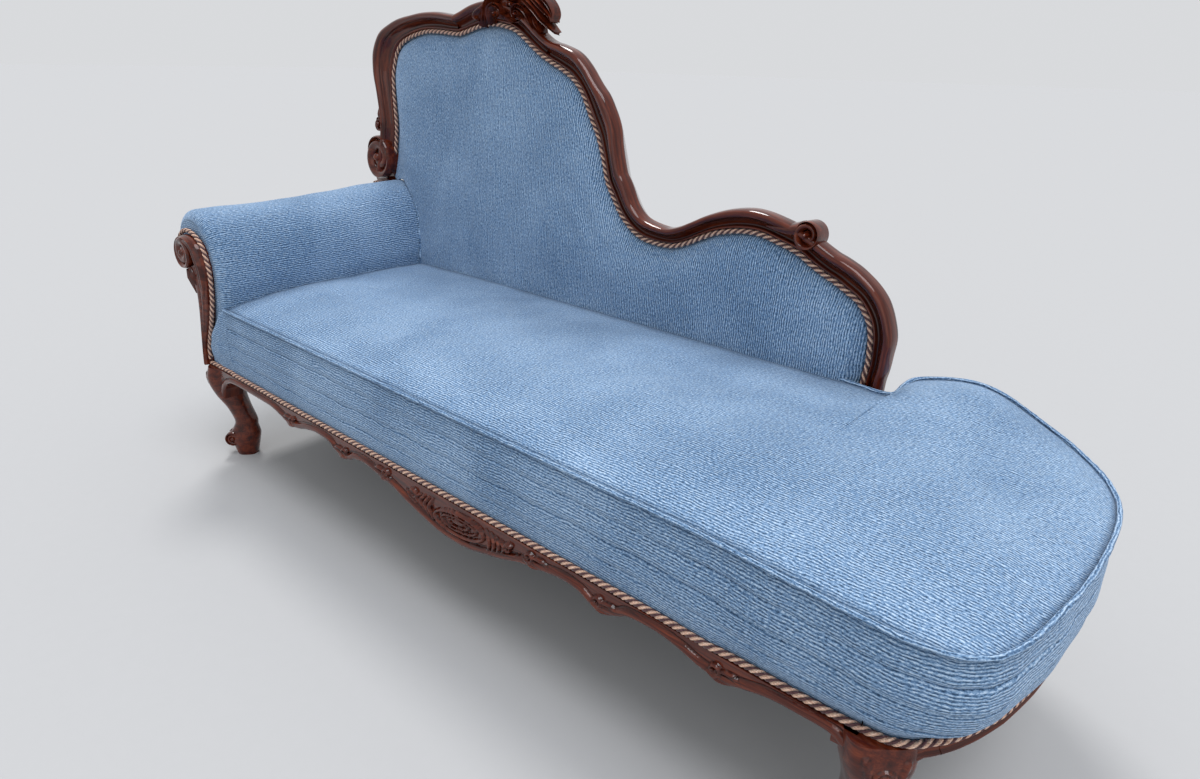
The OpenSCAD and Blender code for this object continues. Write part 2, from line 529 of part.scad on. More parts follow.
// The stile's section without its mouldings, where it stands behind the arm
function post_ring(z) = [for (q = frame_ring(0)) [q[0], max(q[1], post_y[0]), z]];
module left_stile() color(wood) above_rail() {
    loft(concat([for (z = [rail_top - rail_t, back_line[0][1] - 0.4 * lip_w]) post_ring(z)],
        [for (i = [0:cusp_a]) frame_ring(i)]));
    translate([ear_at[0], 0, ear_at[1]]) rotate([90, 0, 0]) {
        drum(ear_r, -0.94 * frame_back, 0.5 * bead_proud, 26);
        translate([0, 0, 0.5 * bead_proud]) spiral(0.8 * ear_r, 0.2 * ear_r, 1.6, 0.2 * ear_r, 30, -1);
    }
    translate([bud_at[0], 0, bud_at[1]]) rotate([90, 0, 0])
        drum(0.34 * frame_w, -0.5 * frame_back, 0.8 * bead_proud, 18);
}

module crest_rail() color(wood) leaned() moulding(cusp_a, cusp_b);

// Silhouette of the crest's leaves, from the left tip over the top to the right tip
crest_shares = [[-1, -0.1], [-1.04, 0.12], [-0.86, 0.2], [-0.8, 0.42], [-0.62, 0.48], [-0.58, 0.7],
    [-0.38, 0.72], [-0.3, 0.9], [-0.12, 0.9], [0, 1], [0.12, 0.9], [0.3, 0.9], [0.38, 0.72], [0.58, 0.68],
    [0.64, 0.46], [0.84, 0.34], [0.9, 0.08], [1.1, -0.05], [1.16, -0.34], [0.9, -0.4], [0.6, -0.3],
    [0.3, -0.1], [0, -0.02], [-0.3, -0.04], [-0.6, -0.16]];
crest_x = 0.338 * back_l - back_side;
crest_foot = base_h + back_h;
module crest_carving() color(wood) leaned() translate([crest_x, 0, crest_foot]) {
    first = cusp_a - 4;
    last = cusp_b + 6;
    difference() {
        rotate([90, 0, 0]) translate([0, 0, -0.5 * frame_back])
            linear_extrude(0.5 * frame_back + 1.25 * bead_proud)
                polygon(full_run([for (p = crest_shares) scaled(p, [1.9 * frame_w, crest_rise])], 2));
        translate([-crest_x, 0, -crest_foot]) {
            moulding(first, last, gap);
            back_slab(concat([for (i = [first:last]) aside(back_line, i, 0.12 * frame_w)],
                [[back_line[last][0], seam_h], [back_line[first][0], seam_h]]), -2 * bead_proud, frame_back);
        }
    }
}

module sweep_rail() color(wood) leaned() moulding(cusp_b, scroll_at);
module end_rail() color(wood) above_rail() {
    moulding(scroll_at, back_last);
    translate([back_line[back_last][0] + 0.13 * frame_w, post_y[0], base_h])
        cube([0.4 * frame_w, post_y[1] - post_y[0], back_line[back_last][1] + lip_w - base_h]);
}

// Small volute that stands on the joint of the sweep and the end
scroll_r = 0.48 * frame_w;
module sweep_scroll() color(wood) leaned() difference() {
    p = aside(back_line, scroll_at, 0.95 * frame_w);
    face = 1.1 * bead_proud;
    translate([p[0], 0, p[1]]) rotate([90, 0, 0]) {
        translate([0, 0, -0.5 * frame_back]) cylinder(r = scroll_r, h = 0.5 * frame_back + face, $fn = 40);
        translate([0, 0, face])
            spiral(0.78 * scroll_r, 0.18 * scroll_r, 1.5, 0.2 * scroll_r, -60, 1, 6, 18);
    }
    moulding(scroll_at - 4, scroll_at + 4, gap);
}

// Bottom rail and slat inside the backrest
module back_bottom_rail() color(inner_wood) leaned() {
    x0 = left_leg[0] + block / 2;
    x1 = back_line[back_last][0] - lip_w;
    difference() {
        translate([x0, lip_front, rail_top + 4 * web_t]) cube([x1 - x0, 0.6 * frame_back, 2 * rail_t]);
        for (k = bolt_bands) translate([bolt_x(k), 0.5 * frame_back, rail_top])
            cylinder(r = bolt_r + gap, h = rail_t + gap, $fn = 24);
    }
}
slat_x = 0.32 * back_l - back_side;
module back_slat() color(inner_wood) leaned() {
    z0 = rail_top + 4 * web_t + 2 * rail_t;
    translate([slat_x - rail_t, lip_front, z0])
        cube([2 * rail_t, 0.5 * frame_back, crest_foot - lip_w - z0 - rail_t]);
}

// Outline of the arm's fabric: from the seat up the inner face, over the roll and down the outside
arm_shares = [[-0.005, 0.18], [-0.005, 0.45], [0.012, 0.6], [-0.035, 0.775], [-0.165, 0.905], [-0.35, 0.98],
    [-0.56, 1], [-0.76, 0.975], [-0.92, 0.9], [-1, 0.8], [-0.975, 0.71], [-0.88, 0.65], [-0.74, 0.625],
    [-0.63, 0.56], [-0.61, 0.4], [-0.61, 0.18]];
arm_size = [arm_w, arm_h];
function arm_points(inset) = beside(full_run([for (q = arm_shares) scaled(q, arm_size)], 2), inset);
function rear_plane(z) = back_y + (z - seam_h) * tan(lean) + lip_front - gap;
// Rounded front edge of the arm's pad, as shares of its radius: back from the front, and inwards
arm_round = 6.5 * cover_t;
arm_round_shares = [[0, 0.9], [0.1, 0.5], [0.4, 0.18], [1, 0]];
arm_front = cover_t + gap;
// The stumps inside the arm, and the foam's thickness over them
stump_t = 0.85 * rail_t;
stump_y = 0.65 * facing_t;
stump_front = arm_front + 1.2 * arm_round + gap;
stump_rear = rear_y0 - 0.2 * frame_back - stump_t;
foam_t = 0.9 * rail_t;
// Top of the arm's flat outer side, under the roll
side_top = base_h + 0.59 * arm_h;

// The arm's form between two depths
module arm_solid(inset, y0, y1, foot = 0) translate([0, y1, base_h]) rotate([90, 0, 0])
    linear_extrude(y1 - y0) let (p = arm_points(inset), n = len(p) - 1)
        polygon(foot == 0 ? p : concat([[p[0][0], p[0][1] - foot]], p, [[p[n][0], p[n][1] - foot]]));

module inside_arm_cover() color(fabric) placed() difference() {
    loft(concat([for (s = arm_round_shares) [for (p = arm_points(s[1] * arm_round))
            [p[0], arm_front + s[0] * arm_round, base_h + p[1]]]],
        [[for (p = arm_points(0)) [p[0], rear_plane(base_h + p[1]), base_h + p[1]]]]));
    arm_solid(cover_t, stump_front - gap, stump_rear + stump_t + cover_t, rail_t);
    translate([0, stump_y + gap, base_h]) rotate([90, 0, 0])
        linear_extrude(facing_t) polygon(facing_points(gap));
    translate([volute_at[0], stump_y + gap, base_h + volute_at[1]]) rotate([90, 0, 0])
        cylinder(r = volute_r + gap, h = facing_t, $fn = 48);
    translate([-2 * arm_w, -well_d, 0]) cube([1.39 * arm_w + 1.5 * cover_t, 3 * well_d, side_top]);
}

// The facing from its foot up the outside, round under the volute, and down along the cord
facing_shares = [[-0.69, 0], [-0.67, 0.134], [-0.68, 0.242], [-0.635, 0.35], [-0.575, 0.47],
    [-0.6, 0.543], [-0.69, 0.6], [-0.79, 0.64], [-0.79, 0.855], [-0.64, 0.862], [-0.545, 0.83],
    [-0.458, 0.78], [-0.379, 0.7], [-0.33, 0.63], [-0.3, 0.538], [-0.34, 0.422], [-0.48, 0.285],
    [-0.585, 0.185], [-0.6, 0.1], [-0.6, 0]];
volute_at = [-0.775 * arm_w, 0.737 * arm_h];
facing_line = full_run([for (q = facing_shares) scaled(q, arm_size)], 2);
function facing_points(grow) = beside(facing_line, grow);
module arm_facing() color(wood) placed() translate([0, stump_y, base_h]) rotate([90, 0, 0]) {
    linear_extrude(facing_t) polygon(facing_points(0));
    translate(volute_at) {
        drum(volute_r, 0.04 * facing_t, 1.03 * facing_t, 26);
        translate([0, 0, 1.03 * facing_t])
            spiral(0.82 * volute_r, 0.2 * volute_r, 1.6, 0.14 * volute_r, 60, 1);
    }
}
// Cord along the facing's inner edge, from the apron's cord up to the volute
volute_end_n = 9;
module arm_cord() {
    path = beside([for (i = [len(facing_line) - 1:-1:2 * volute_end_n]) facing_line[i]], -cord_r - gap);
    rings = [for (i = [2:len(path) - 1]) let (o = left_of(way(path, i)) * mitre(path, i), q = path[i],
            up = min(1, max(0, q[1] / boxing_h - 0.9) * 6), y = -cord_r - gap + up * arm_front)
        [for (s = round_section(cord_r, 8, 0, 0))
            [q[0] + o[0] * s[0], y + s[1], base_h + q[1] + o[1] * s[0]]]];
    color(rope) placed() loft(rings);
}

// Wooden frame inside the arm
module stump(y) translate([0, y, 0]) intersection() {
    arm_solid(foam_t, 0, stump_t);
    translate([-arm_w, 0, rail_top]) cube([arm_w, stump_t, arm_h]);
}
module arm_front_stump() color(inner_wood) placed() stump(stump_front);
module arm_rear_stump() color(inner_wood) placed() stump(stump_rear);
board_h = 0.7 * rail_t;
board_z = base_h + 0.68 * arm_h;
board_w = 0.4 * arm_w;
inner_x = -1.05 * foam_t - web_t;
span_y = stump_rear - stump_front - stump_t;
module arm_top_board() color(inner_wood) placed()
    translate([inner_x - board_w, stump_front + stump_t, board_z]) cube([board_w, span_y, board_h]);
module arm_tack_rail() color(inner_wood) placed()
    translate([inner_x - board_h, stump_front + stump_t, rail_top + 2 * web_t])
        cube([board_h, span_y, 1.2 * rail_t]);
arm_band_shares = [0.12, 0.37, 0.62, 0.87];
module arm_webbing() color(web) placed() for (s = arm_band_shares)
    translate([inner_x, stump_front + stump_t + s * span_y - web_w / 2, rail_top + 2 * web_t])
        cube([web_t, web_w, board_z + board_h - rail_top - 2 * web_t]);
module arm_foam() color(foam) placed() difference() {
    arm_solid(cover_t + gap, stump_front, stump_rear + stump_t);
    arm_solid(foam_t - gap, 0, 2 * well_d);
    translate([-2 * arm_w, 0, 0]) cube([1.55 * arm_w, 2 * well_d, side_top]);
    translate([inner_x - board_w, 0, 0]) cube([board_w + web_t + gap, 2 * well_d, board_z + board_h + gap]);
}
module outside_arm_cover() color(fabric) placed() {
    x = left_leg[0] - block / 2 - gap - 0.75 * cover_t;
    translate([x, stump_y + gap, base_h])
        cube([0.75 * cover_t, rear_plane(base_h) - stump_y - gap, side_top - base_h - gap]);
}

// Places where the back panel meets the arm, from the top of its roll down to the panel's foot
junction_shares = [[-0.53, 1.012], [-0.44, 1.008], [-0.35, 0.992], [-0.16, 0.917], [-0.025, 0.78],
    [0.02, 0.6], [0.01, 0.23]];
junction = full_run([for (p = junction_shares) [p[0] * arm_w, base_h + p[1] * arm_h]], 2);
panel_foot = back_line[back_last][1];
// Foot of the panel's column i, which stands on the arm or on the panel's lower edge
function panel_base(i) = i < len(junction) ? junction[i]
    : [lerp(junction[len(junction) - 1][0], back_line[back_last][0] - frame_w,
        (i - len(junction) + 1) / (back_last - len(junction) + 1)),
        panel_foot - cover_t * (back_last - i) / back_last];
// Depths of the panel's rim in the frame's rebate, and how far in the panel's shoulder stands
rim_rear = lip_front - web_t;
rim_front = rim_rear - 0.75 * cover_t;
shoulder = 1.5 * lip_w;
// Rows of the panel down a column: share of its length and share of the puff
row_shares = [[0.06, 0.8], [0.16, 0.92], [0.34, 1], [0.6, 1], [0.85, 1]];
wad_rear = -0.36 * back_puff - gap;
function panel_column(i) = let (top = aside(back_line, i, -shoulder), foot = panel_base(i)) concat(
    [back_at(i, -1.2 * shoulder, wad_rear), back_at(i, -gap, rim_rear), back_at(i, -gap, rim_front),
        back_at(i, -cord_d - 3 * gap, rim_front), back_at(i, -shoulder, -0.55 * back_puff)],
    [for (r = row_shares) let (q = lerp(top, foot, r[0])) [q[0], -r[1] * back_puff, q[1]]],
    [[foot[0], -back_puff, foot[1]], [foot[0], wad_rear, foot[1]]]);
// Outline of the foam, with its corners halfway between the panel's columns
function foam_top(i) =
    lerp(aside(back_line, i, -1.3 * shoulder), aside(back_line, i + 1, -1.3 * shoulder), 0.47);
function foam_base(i) = lerp(lerp(panel_base(i), panel_base(i + 1), 0.47), foam_top(i), 0.06)
    + [i < len(junction) ? 3 * cover_t : 0, 0];
foam_outline = concat([for (i = [3:back_last - 4]) foam_top(i)],
    [for (i = [back_last - 4:-1:3]) foam_base(i)]);
module back_slab(outline, front, rear) translate([0, rear, 0]) rotate([90, 0, 0])
    linear_extrude(rear - front) polygon(outline);
module inside_back_cover() color(fabric) leaned() loft([for (i = [0:back_last]) panel_column(i)], true);
module back_foam() color(foam) leaned() back_slab(foam_outline, wad_rear + gap, rim_rear);
module outside_back_cover() color(fabric) leaned() {
    x0 = back_line[0][0] + gap;
    x1 = back_line[back_last][0] - gap;
    z0 = rail_top + frame_back * sin(lean) + gap;
    back_slab(concat([for (i = [1:back_last - 1]) aside(back_line, i, -gap)], [[x1, z0], [x0, z0],
        [x0, back_line[1][1]]]), lip_rear, lip_rear + web_t);
}

// Webbing behind the back's foam: bands up it and across it
back_band_shares = [0.06, 0.22, 0.38, 0.56, 0.74, 0.9];
back_row_shares = [0.18, 0.42, 0.64, 0.84];
module back_webbing() color(web) leaned() intersection() {
    back_slab(concat([for (i = [2:back_last - 2]) aside(back_line, i, -0.4 * lip_w)],
        [for (i = [back_last - 2:-1:2]) panel_base(i)]), rim_rear, lip_front);
    union() {
        for (s = back_band_shares)
            translate([s * back_l - web_w / 2, 0, 0]) cube([web_w, frame_back, 2 * crest_foot]);
        for (s = back_row_shares)
            translate([-arm_w, 0, base_h + s * back_h]) cube([2 * back_l, frame_back, web_w]);
    }
}
module back_cord() {
    deep = rim_front - cord_r - gap;
    rings = [for (i = [0:back_last - 8])
        [for (s = round_section(cord_r, 8, -cord_r - gap, deep)) back_at(i, s[0], s[1])]];
    color(rope) leaned() loft(rings);
}

// Webbing of the seat, in one layer along it and one across it
long_band_shares = [0.16, 0.32, 0.48, 0.64, 0.8];
cross_band_n = 12;
frame_reach = [left_leg[0] - 0.4 * block, rear_y0 + 0.5 * frame_back];
module seat_bands(z) intersection() {
    translate([0, 0, z]) linear_extrude(web_t) union() {
        polygon(rim_flat(-2 * cover_t, 1));
        translate([frame_reach[0], 2 * cover_t]) square([0.666 * seat_l, frame_reach[1] - 2 * cover_t]);
    }
    children();
}
module long_webbing() color(web) placed() seat_bands(rail_top) for (s = long_band_shares)
    translate([-arm_w, s * well_d, 0]) cube([2 * seat_l, web_w, seam_h]);
module cross_webbing() color(web) placed() seat_bands(rail_top + web_t) for (i = [0:cross_band_n - 1])
    translate([(cross_first_share + cross_step_share * i) * seat_l, 0, 0]) cube([web_w, 2 * seat_d, seam_h]);

// The seat's two layers of foam
foam_foot = rail_top + 2 * web_t;
foam_mid = foam_foot + 0.48 * (seam_h - cover_t - foam_foot);
module foam_layer(z0, z1) translate([0, 0, z0]) linear_extrude(z1 - z0)
    polygon(rim_flat(-cover_t - 0.3 * boxing_swell - gap, 0.75));
module lower_foam() color(foam) placed() foam_layer(foam_foot, foam_mid);
module upper_foam() color(foam) placed() foam_layer(foam_mid, seam_h - cover_t - gap);

module dust_cover() color(web) placed() difference() {
    translate([0, 0, base_h - web_t]) linear_extrude(web_t) {
        polygon([for (p = rim_flat(-cover_t - rail_t - gap, 1))
            [p[0], max(cover_t + rail_t, min(rear_y0, p[1]))]]);
        translate([left_leg[0] - block / 2 + rail_t, cover_t + rail_t])
            square([arm_w, rear_y0 - cover_t - rail_t]);
    }
    for (p = leg_spots) translate([p[0], p[1], 0]) cylinder(r = 0.6 * knee_w, h = seam_h, $fn = 48);
}

front_apron();
foot_end_apron();
head_apron();
rear_rail();
cross_rails();
corner_blocks();
block_screws();
front_left_leg();
front_right_leg();
rear_left_leg();
rear_right_leg();
left_stile();
crest_rail();
crest_carving();
sweep_rail();
sweep_scroll();
end_rail();
back_bottom_rail();
back_slat();
back_bolts();
arm_front_stump();
arm_rear_stump();
arm_top_board();
arm_tack_rail();
seat_cover();
seat_welt();
inside_arm_cover();
seat_cord();
arm_facing();
long_webbing();
cross_webbing();
lower_foam();
upper_foam();
back_webbing();
back_foam();
inside_back_cover();
outside_back_cover();
arm_webbing();
arm_foam();
outside_arm_cover();
dust_cover();
back_cord();
arm_cord();
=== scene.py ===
"""A fainting couch: carved, lacquered show wood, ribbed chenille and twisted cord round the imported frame.

Shapes are worked out in millimetres in the couch's own plan: x along the seat from the arm's inner
face, y from the seat's front to the back, z up from the floor. placed() brings them into the shared
frame in metres, and leaned() does the same for the backrest, whose depths count from the fabric's edge.
"""

import bmesh
import bpy
import numpy as np
from mathutils import Matrix


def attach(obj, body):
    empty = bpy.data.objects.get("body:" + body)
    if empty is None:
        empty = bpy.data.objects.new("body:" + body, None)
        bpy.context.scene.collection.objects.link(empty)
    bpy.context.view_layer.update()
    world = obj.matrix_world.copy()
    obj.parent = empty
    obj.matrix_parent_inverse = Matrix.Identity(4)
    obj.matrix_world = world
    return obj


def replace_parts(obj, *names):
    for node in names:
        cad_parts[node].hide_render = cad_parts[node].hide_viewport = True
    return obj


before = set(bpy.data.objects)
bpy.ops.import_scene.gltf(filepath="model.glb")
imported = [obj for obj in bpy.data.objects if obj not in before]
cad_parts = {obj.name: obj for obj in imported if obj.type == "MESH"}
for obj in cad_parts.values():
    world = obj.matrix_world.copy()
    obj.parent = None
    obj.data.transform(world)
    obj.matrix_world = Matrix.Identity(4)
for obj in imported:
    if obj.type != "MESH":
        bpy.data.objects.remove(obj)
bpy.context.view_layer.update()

# Sizes of the couch, as in the solids
SEAT_L, SEAT_D, WELL_D = 1711, 658, 550
BASE_H, BOXING_H, CROWN_H = 248, 161, 30
COVER_T, BASE_TUCK, SWELL, WELT_D = 4, 22, 6, 7
RAIL_T, RAIL_H, APRON_H, LOBE_H = 32, 62, 34, 77
BEAD_D, KNEE_W = 13, 80
BACK_L, BACK_H, BACK_SIDE, LEAN = 1375, 776, 91, np.radians(3)
FRAME_W, BEAD_PROUD, FRAME_BACK, BACK_PUFF = 56, 28, 50, 25
ARM_W, ARM_H, FACING_T = 203, 372, 34
CORD_D, GAP, LEDGE = 9, 0.3, 9
SEAM_H, RAIL_TOP, BACK_Y = BASE_H + BOXING_H, BASE_H + RAIL_H, WELL_D + BACK_PUFF
CORD_R, WELT_R, LIP_W = CORD_D / 2, WELT_D / 2, 0.36 * FRAME_W

# The shared frame's origin in the plan, the arm facing's front, and a full turn
MID = np.array([755.195, 321.762, 0.0])
FACING_Y = 0.65 * FACING_T - FACING_T
TURN = 2 * np.pi


# Points and paths
def placed(p):
    """Millimetres of the plan to metres of the shared frame."""
    return (np.asarray(p, float) - MID) / 1000


def leaned(p):
    """The backrest's upright points turned back about the seat's seam line, then placed."""
    x, y, z = np.moveaxis(np.asarray(p, float), -1, 0)
    z = z - SEAM_H
    return placed(np.stack([x, BACK_Y + y * np.cos(LEAN) + z * np.sin(LEAN),
                            SEAM_H + z * np.cos(LEAN) - y * np.sin(LEAN)], -1))


def curve(points, steps):
    """The Catmull-Rom curve through the points, with so many steps from each to the next."""
    p = np.asarray(points, float)
    t = (np.arange(steps) / steps)[None, :, None]
    a, b, c, d = (q[:, None] for q in
                  (np.vstack([p[:1], p[:-2]]), p[:-1], p[1:], np.vstack([p[2:], p[-1:]])))
    q = (2 * b + (c - a) * t + (2 * a - 5 * b + 4 * c - d) * t ** 2
         + (3 * b - a - 3 * c + d) * t ** 3) / 2
    return np.vstack([q.reshape(-1, p.shape[1]), p[-1:]])


def run_of(path):
    """Distance along a path to each of its points."""
    return np.concatenate([[0], np.cumsum(np.linalg.norm(np.diff(path, axis=0), axis=1))])


def even(path, step, axes=None):
    """The same path at equal steps, its length measured in its first axes columns."""
    run = run_of(path[:, :axes])
    s = np.linspace(0, run[-1], max(3, int(round(run[-1] / step)) + 1))
    return np.stack([np.interp(s, run, column) for column in path.T], 1)


def unit(v):
    """Vectors brought to length 1."""
    return v / np.maximum(np.linalg.norm(v, axis=-1, keepdims=True), 1e-9)


def left_of(v):
    """Plane vectors turned a quarter turn to the left."""
    return np.stack([-v[..., 1], v[..., 0]], -1)


def way_of(path):
    """Unit way of a path at each of its points."""
    return unit(np.gradient(path, axis=0))


def smooth(t, low, high):
    """0 below low, 1 above high and a soft step between them."""
    t = np.clip((t - low) / (high - low), 0, 1)
    return t * t * (3 - 2 * t)


def ripple(u, v, wave, seed, heading=0.0, spread=np.pi):
    """A soft seeded relief of about -1 to 1: the sum of plane waves of about that length, whose ways
    lie within the spread round the heading."""
    rng = np.random.default_rng(seed)
    total, count = 0, 9
    for _ in range(count):
        a = heading + spread * (rng.random() - 0.5)
        k = TURN / (wave * (0.7 + 0.6 * rng.random()))
        total = total + np.sin(k * (u * np.cos(a) + v * np.sin(a)) + TURN * rng.random())
    return total * np.sqrt(2 / count) / 1.6


def bell(x, middle, width):
    """A bell curve: 1 at its middle and 1/e a width away."""
    return np.exp(-((x - middle) / width) ** 2)


def spaced(values, s):
    """Values spaced evenly from 0 to 1, read at s."""
    return np.interp(s, np.linspace(0, 1, len(values)), values)


def uv_of(u, v):
    """UV of a grid in metres, from its u and v in millimetres."""
    return np.stack(np.broadcast_arrays(u, v), -1) / 1000


def upright(q, depth):
    """Points of an upright plane, given by x and z, at a depth y."""
    return np.stack([q[..., 0], np.broadcast_to(depth, q.shape[:-1]), q[..., 1]], -1)


# Meshes. The cloth of padded pieces and the sheets are so many metres thick.
CLOTH_T, SHEET_T = 0.002, 0.0015


def add_object(name, data):
    """A new object of the scene."""
    obj = bpy.data.objects.new(name, data)
    bpy.context.scene.collection.objects.link(obj)
    return obj


class Shape:
    """Gathers grids of points in metres and makes them one mesh."""

    def __init__(self):
        self.points, self.faces, self.uvs, self.hollows, self.count = [], [], [], [], 0

    def add(self, points, hollow=0.0):
        """Adds points and returns the first one's index."""
        first = self.count
        self.points.append(points.reshape(-1, 3))
        self.hollows.append(np.broadcast_to(hollow, points.shape[:-1]).reshape(-1))
        self.count += len(self.points[-1])
        return first

    def grid(self, p, uv=None, wrap=False, ends=False, hollow=0.0, out=None, away=None):
        """Skins a grid. wrap joins its last column to its first, ends closes the first and last row
        with fans, and the faces turn along out, away from a point, or outwards where it is closed."""
        rows, columns = p.shape[:2]
        first = self.add(p, hollow)
        index = first + np.arange(rows * columns).reshape(rows, columns)
        if wrap:
            index = np.hstack([index, index[:, :1]])
        if uv is None:
            uv = np.zeros(index.shape + (2,))
        block = [slice(None, -1), slice(1, None)]
        corners = [(block[0], block[0]), (block[0], block[1]), (block[1], block[1]), (block[1], block[0])]
        faces = [np.stack([index[c] for c in corners], -1).reshape(-1, 4)]
        uvs = [np.stack([uv[c] for c in corners], -2).reshape(-1, 4, 2)]
        if ends:
            for row, way in ((0, 1), (-1, -1)):
                centre = self.add(p[row].mean(0)[None], 0.0)
                ring, ring_uv = index[row][::way], uv[row][::way]
                hub = np.full(len(ring) - 1, centre)
                faces.append(np.stack([hub, ring[1:], ring[:-1]], -1))
                uvs.append(np.stack([(ring_uv[1:] + ring_uv[:-1]) / 2, ring_uv[1:], ring_uv[:-1]], -2))
        q = np.concatenate([x.reshape(-1, 3) for x in self.points])
        total = 0.0
        for f in faces:
            a, b, c = q[f[:, 0]], q[f[:, 1]], q[f[:, -1]]
            normal = np.cross(b - a, c - a)
            if f.shape[1] == 4:
                normal = normal + np.cross(q[f[:, 2]] - b, c - b)
            toward = (a + c) / 2 - (p.reshape(-1, 3).mean(0) if away is None else np.asarray(away))
            total += (normal * (toward if out is None else np.asarray(out, float))).sum()
        for f, t in zip(faces, uvs):
            self.faces.append(f if total >= 0 else f[:, ::-1])
            self.uvs.append(t if total >= 0 else t[:, ::-1])

    def lid(self, ring, up):
        """One flat face over a ring of points, which looks along up."""
        first = self.add(ring)
        index = first + np.arange(len(ring))
        nxt = np.roll(ring, -1, axis=0)
        if (np.cross(ring, nxt).sum(0) * np.asarray(up)).sum() < 0:
            index = index[::-1]
        self.faces.append(index[None])
        self.uvs.append(np.stack([ring[index - first, 0], ring[index - first, 1]], -1)[None])

    def make(self, name, finish, slot, weld=0.0, crease=38):
        """One mesh of all that was gathered, shaded smooth up to crease degrees."""
        mesh = bpy.data.meshes.new(name)
        points = np.concatenate(self.points)
        sizes = np.concatenate([np.full(len(f), f.shape[1]) for f in self.faces])
        corners = np.concatenate([f.reshape(-1) for f in self.faces])
        mesh.vertices.add(len(points))
        mesh.vertices.foreach_set("co", points.astype(np.float32).reshape(-1))
        mesh.loops.add(len(corners))
        mesh.loops.foreach_set("vertex_index", corners.astype(np.int32))
        mesh.polygons.add(len(sizes))
        mesh.polygons.foreach_set("loop_start", (np.cumsum(sizes) - sizes).astype(np.int32))
        mesh.update(calc_edges=True)
        layer = mesh.uv_layers.new(name="run")
        layer.data.foreach_set("uv", np.concatenate([t.reshape(-1, 2) for t in self.uvs])
                               .astype(np.float32).reshape(-1))
        # painted shade: each point's share of darkening towards the finish's shade colour, standing in for
        # shade in recesses, grooves and creases
        hollow = mesh.attributes.new("hollow", "FLOAT", "POINT")
        hollow.data.foreach_set("value", np.concatenate(self.hollows).astype(np.float32))
        mesh.validate()
        if weld:
            bm = bmesh.new()
            bm.from_mesh(mesh)
            bmesh.ops.remove_doubles(bm, verts=bm.verts, dist=weld)
            bm.to_mesh(mesh)
            bm.free()
        mesh.polygons.foreach_set("use_smooth", np.ones(len(mesh.polygons), bool))
        mesh.set_sharp_from_angle(angle=np.radians(crease))
        mesh.materials.append(finish.material)
        obj = add_object(name, mesh)
        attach(obj, "root")
        return obj


def thicken(obj, thickness, offset):
    """Gives open cloth its thickness."""
    cloth = obj.modifiers.new("cloth", "SOLIDIFY")
    cloth.thickness, cloth.offset = thickness, offset


def padded_piece(shape, name, nodes, weld=0.0, crease=70, thickness=0.0):
    """A padded piece of the blue cloth in place of the nodes, thickened where its back is open."""
    obj = shape.make(name, blue_chenille, "chenille", weld, crease)
    if thickness:
        thicken(obj, thickness, -1)
    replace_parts(obj, *nodes)


def carved_piece(shape, name, node):
    """A carved piece of mahogany in place of the node."""
    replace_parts(shape.make(name, mahogany_block, "mahogany", crease=45), node)


def run_piece(name, node, points, uv, hollow, crease):
    """A closed run of mahogany in place of the node, with its grain along its UV."""
    shape = Shape()
    shape.grid(points, uv, wrap=True, ends=True, hollow=hollow)
    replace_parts(shape.make(name, mahogany_run, "mahogany", crease=crease), node)


def swept(path, guide, angle, radius):
    """Rings round a path: at an angle the point lies the radius away, turned from side to up. The side
    is square to the path and to the guide."""
    way = way_of(path)
    side = unit(np.cross(way, np.array(guide)))
    up = np.cross(side, way)
    return (path[:, None] + side[:, None] * (radius * np.cos(angle))[..., None]
            + up[:, None] * (radius * np.sin(angle))[..., None])


# The cord's radius and the length of one turn of its strands in metres, its strands and its sides
ROPE_R, ROPE_PITCH, STRANDS, ROPE_SIDES = 0.0051, 0.03, 4, 24


def twisted_cord(name, node, path):
    """Strands laid round each other: at each angle the radius is the outline of so many circles side
    by side, which turns with the distance along the path."""
    path = even(path, 0.0016)
    a = TURN * np.arange(ROPE_SIDES + 1) / ROPE_SIDES
    s = run_of(path)[:, None]
    strand = STRANDS * (a[None] / TURN - s / ROPE_PITCH)
    off = (strand % 1 - 0.5) * TURN / STRANDS
    apart, thick, core = 0.58 * ROPE_R, 0.42 * ROPE_R, 0.6 * ROPE_R
    r = apart * np.cos(off) + np.sqrt(np.maximum(thick ** 2 - (apart * np.sin(off)) ** 2, 0))
    r = np.maximum(r, core)
    # painted shade: darker where the radius dips into the crevices between strands
    hollow = (1 - (r - core) / (ROPE_R - core)) * 0.55
    shape = Shape()
    rings, uv = swept(path, (0.1, 0.35, 0.93), a, r), np.stack(np.broadcast_arrays(strand, s * 100), -1)
    shape.grid(rings[:, :-1], uv, wrap=True, ends=True, hollow=hollow[:, :-1])
    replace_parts(shape.make(name, rope_cord, "rope_cord"), node)


# Materials
class Wire:
    """A shader socket in a sum: an expression on it adds its Math nodes."""

    def __init__(self, finish, socket):
        self.finish, self.socket = finish, socket

    def maths(self, operation, other=None, swapped=False):
        """A Math node on this socket and another, or the other way round."""
        pair = (other, self) if swapped else (self, other)
        return self.finish.node("ShaderNodeMath", {"operation": operation}, dict(enumerate(pair)))

    def __add__(self, other):
        return self.maths("ADD", other)

    def __sub__(self, other):
        return self.maths("SUBTRACT", other)

    def __rsub__(self, other):
        return self.maths("SUBTRACT", other, True)

    def __mul__(self, other):
        return self.maths("MULTIPLY", other)

    def __pow__(self, other):
        return self.maths("POWER", other)

    __radd__, __rmul__ = __add__, __mul__


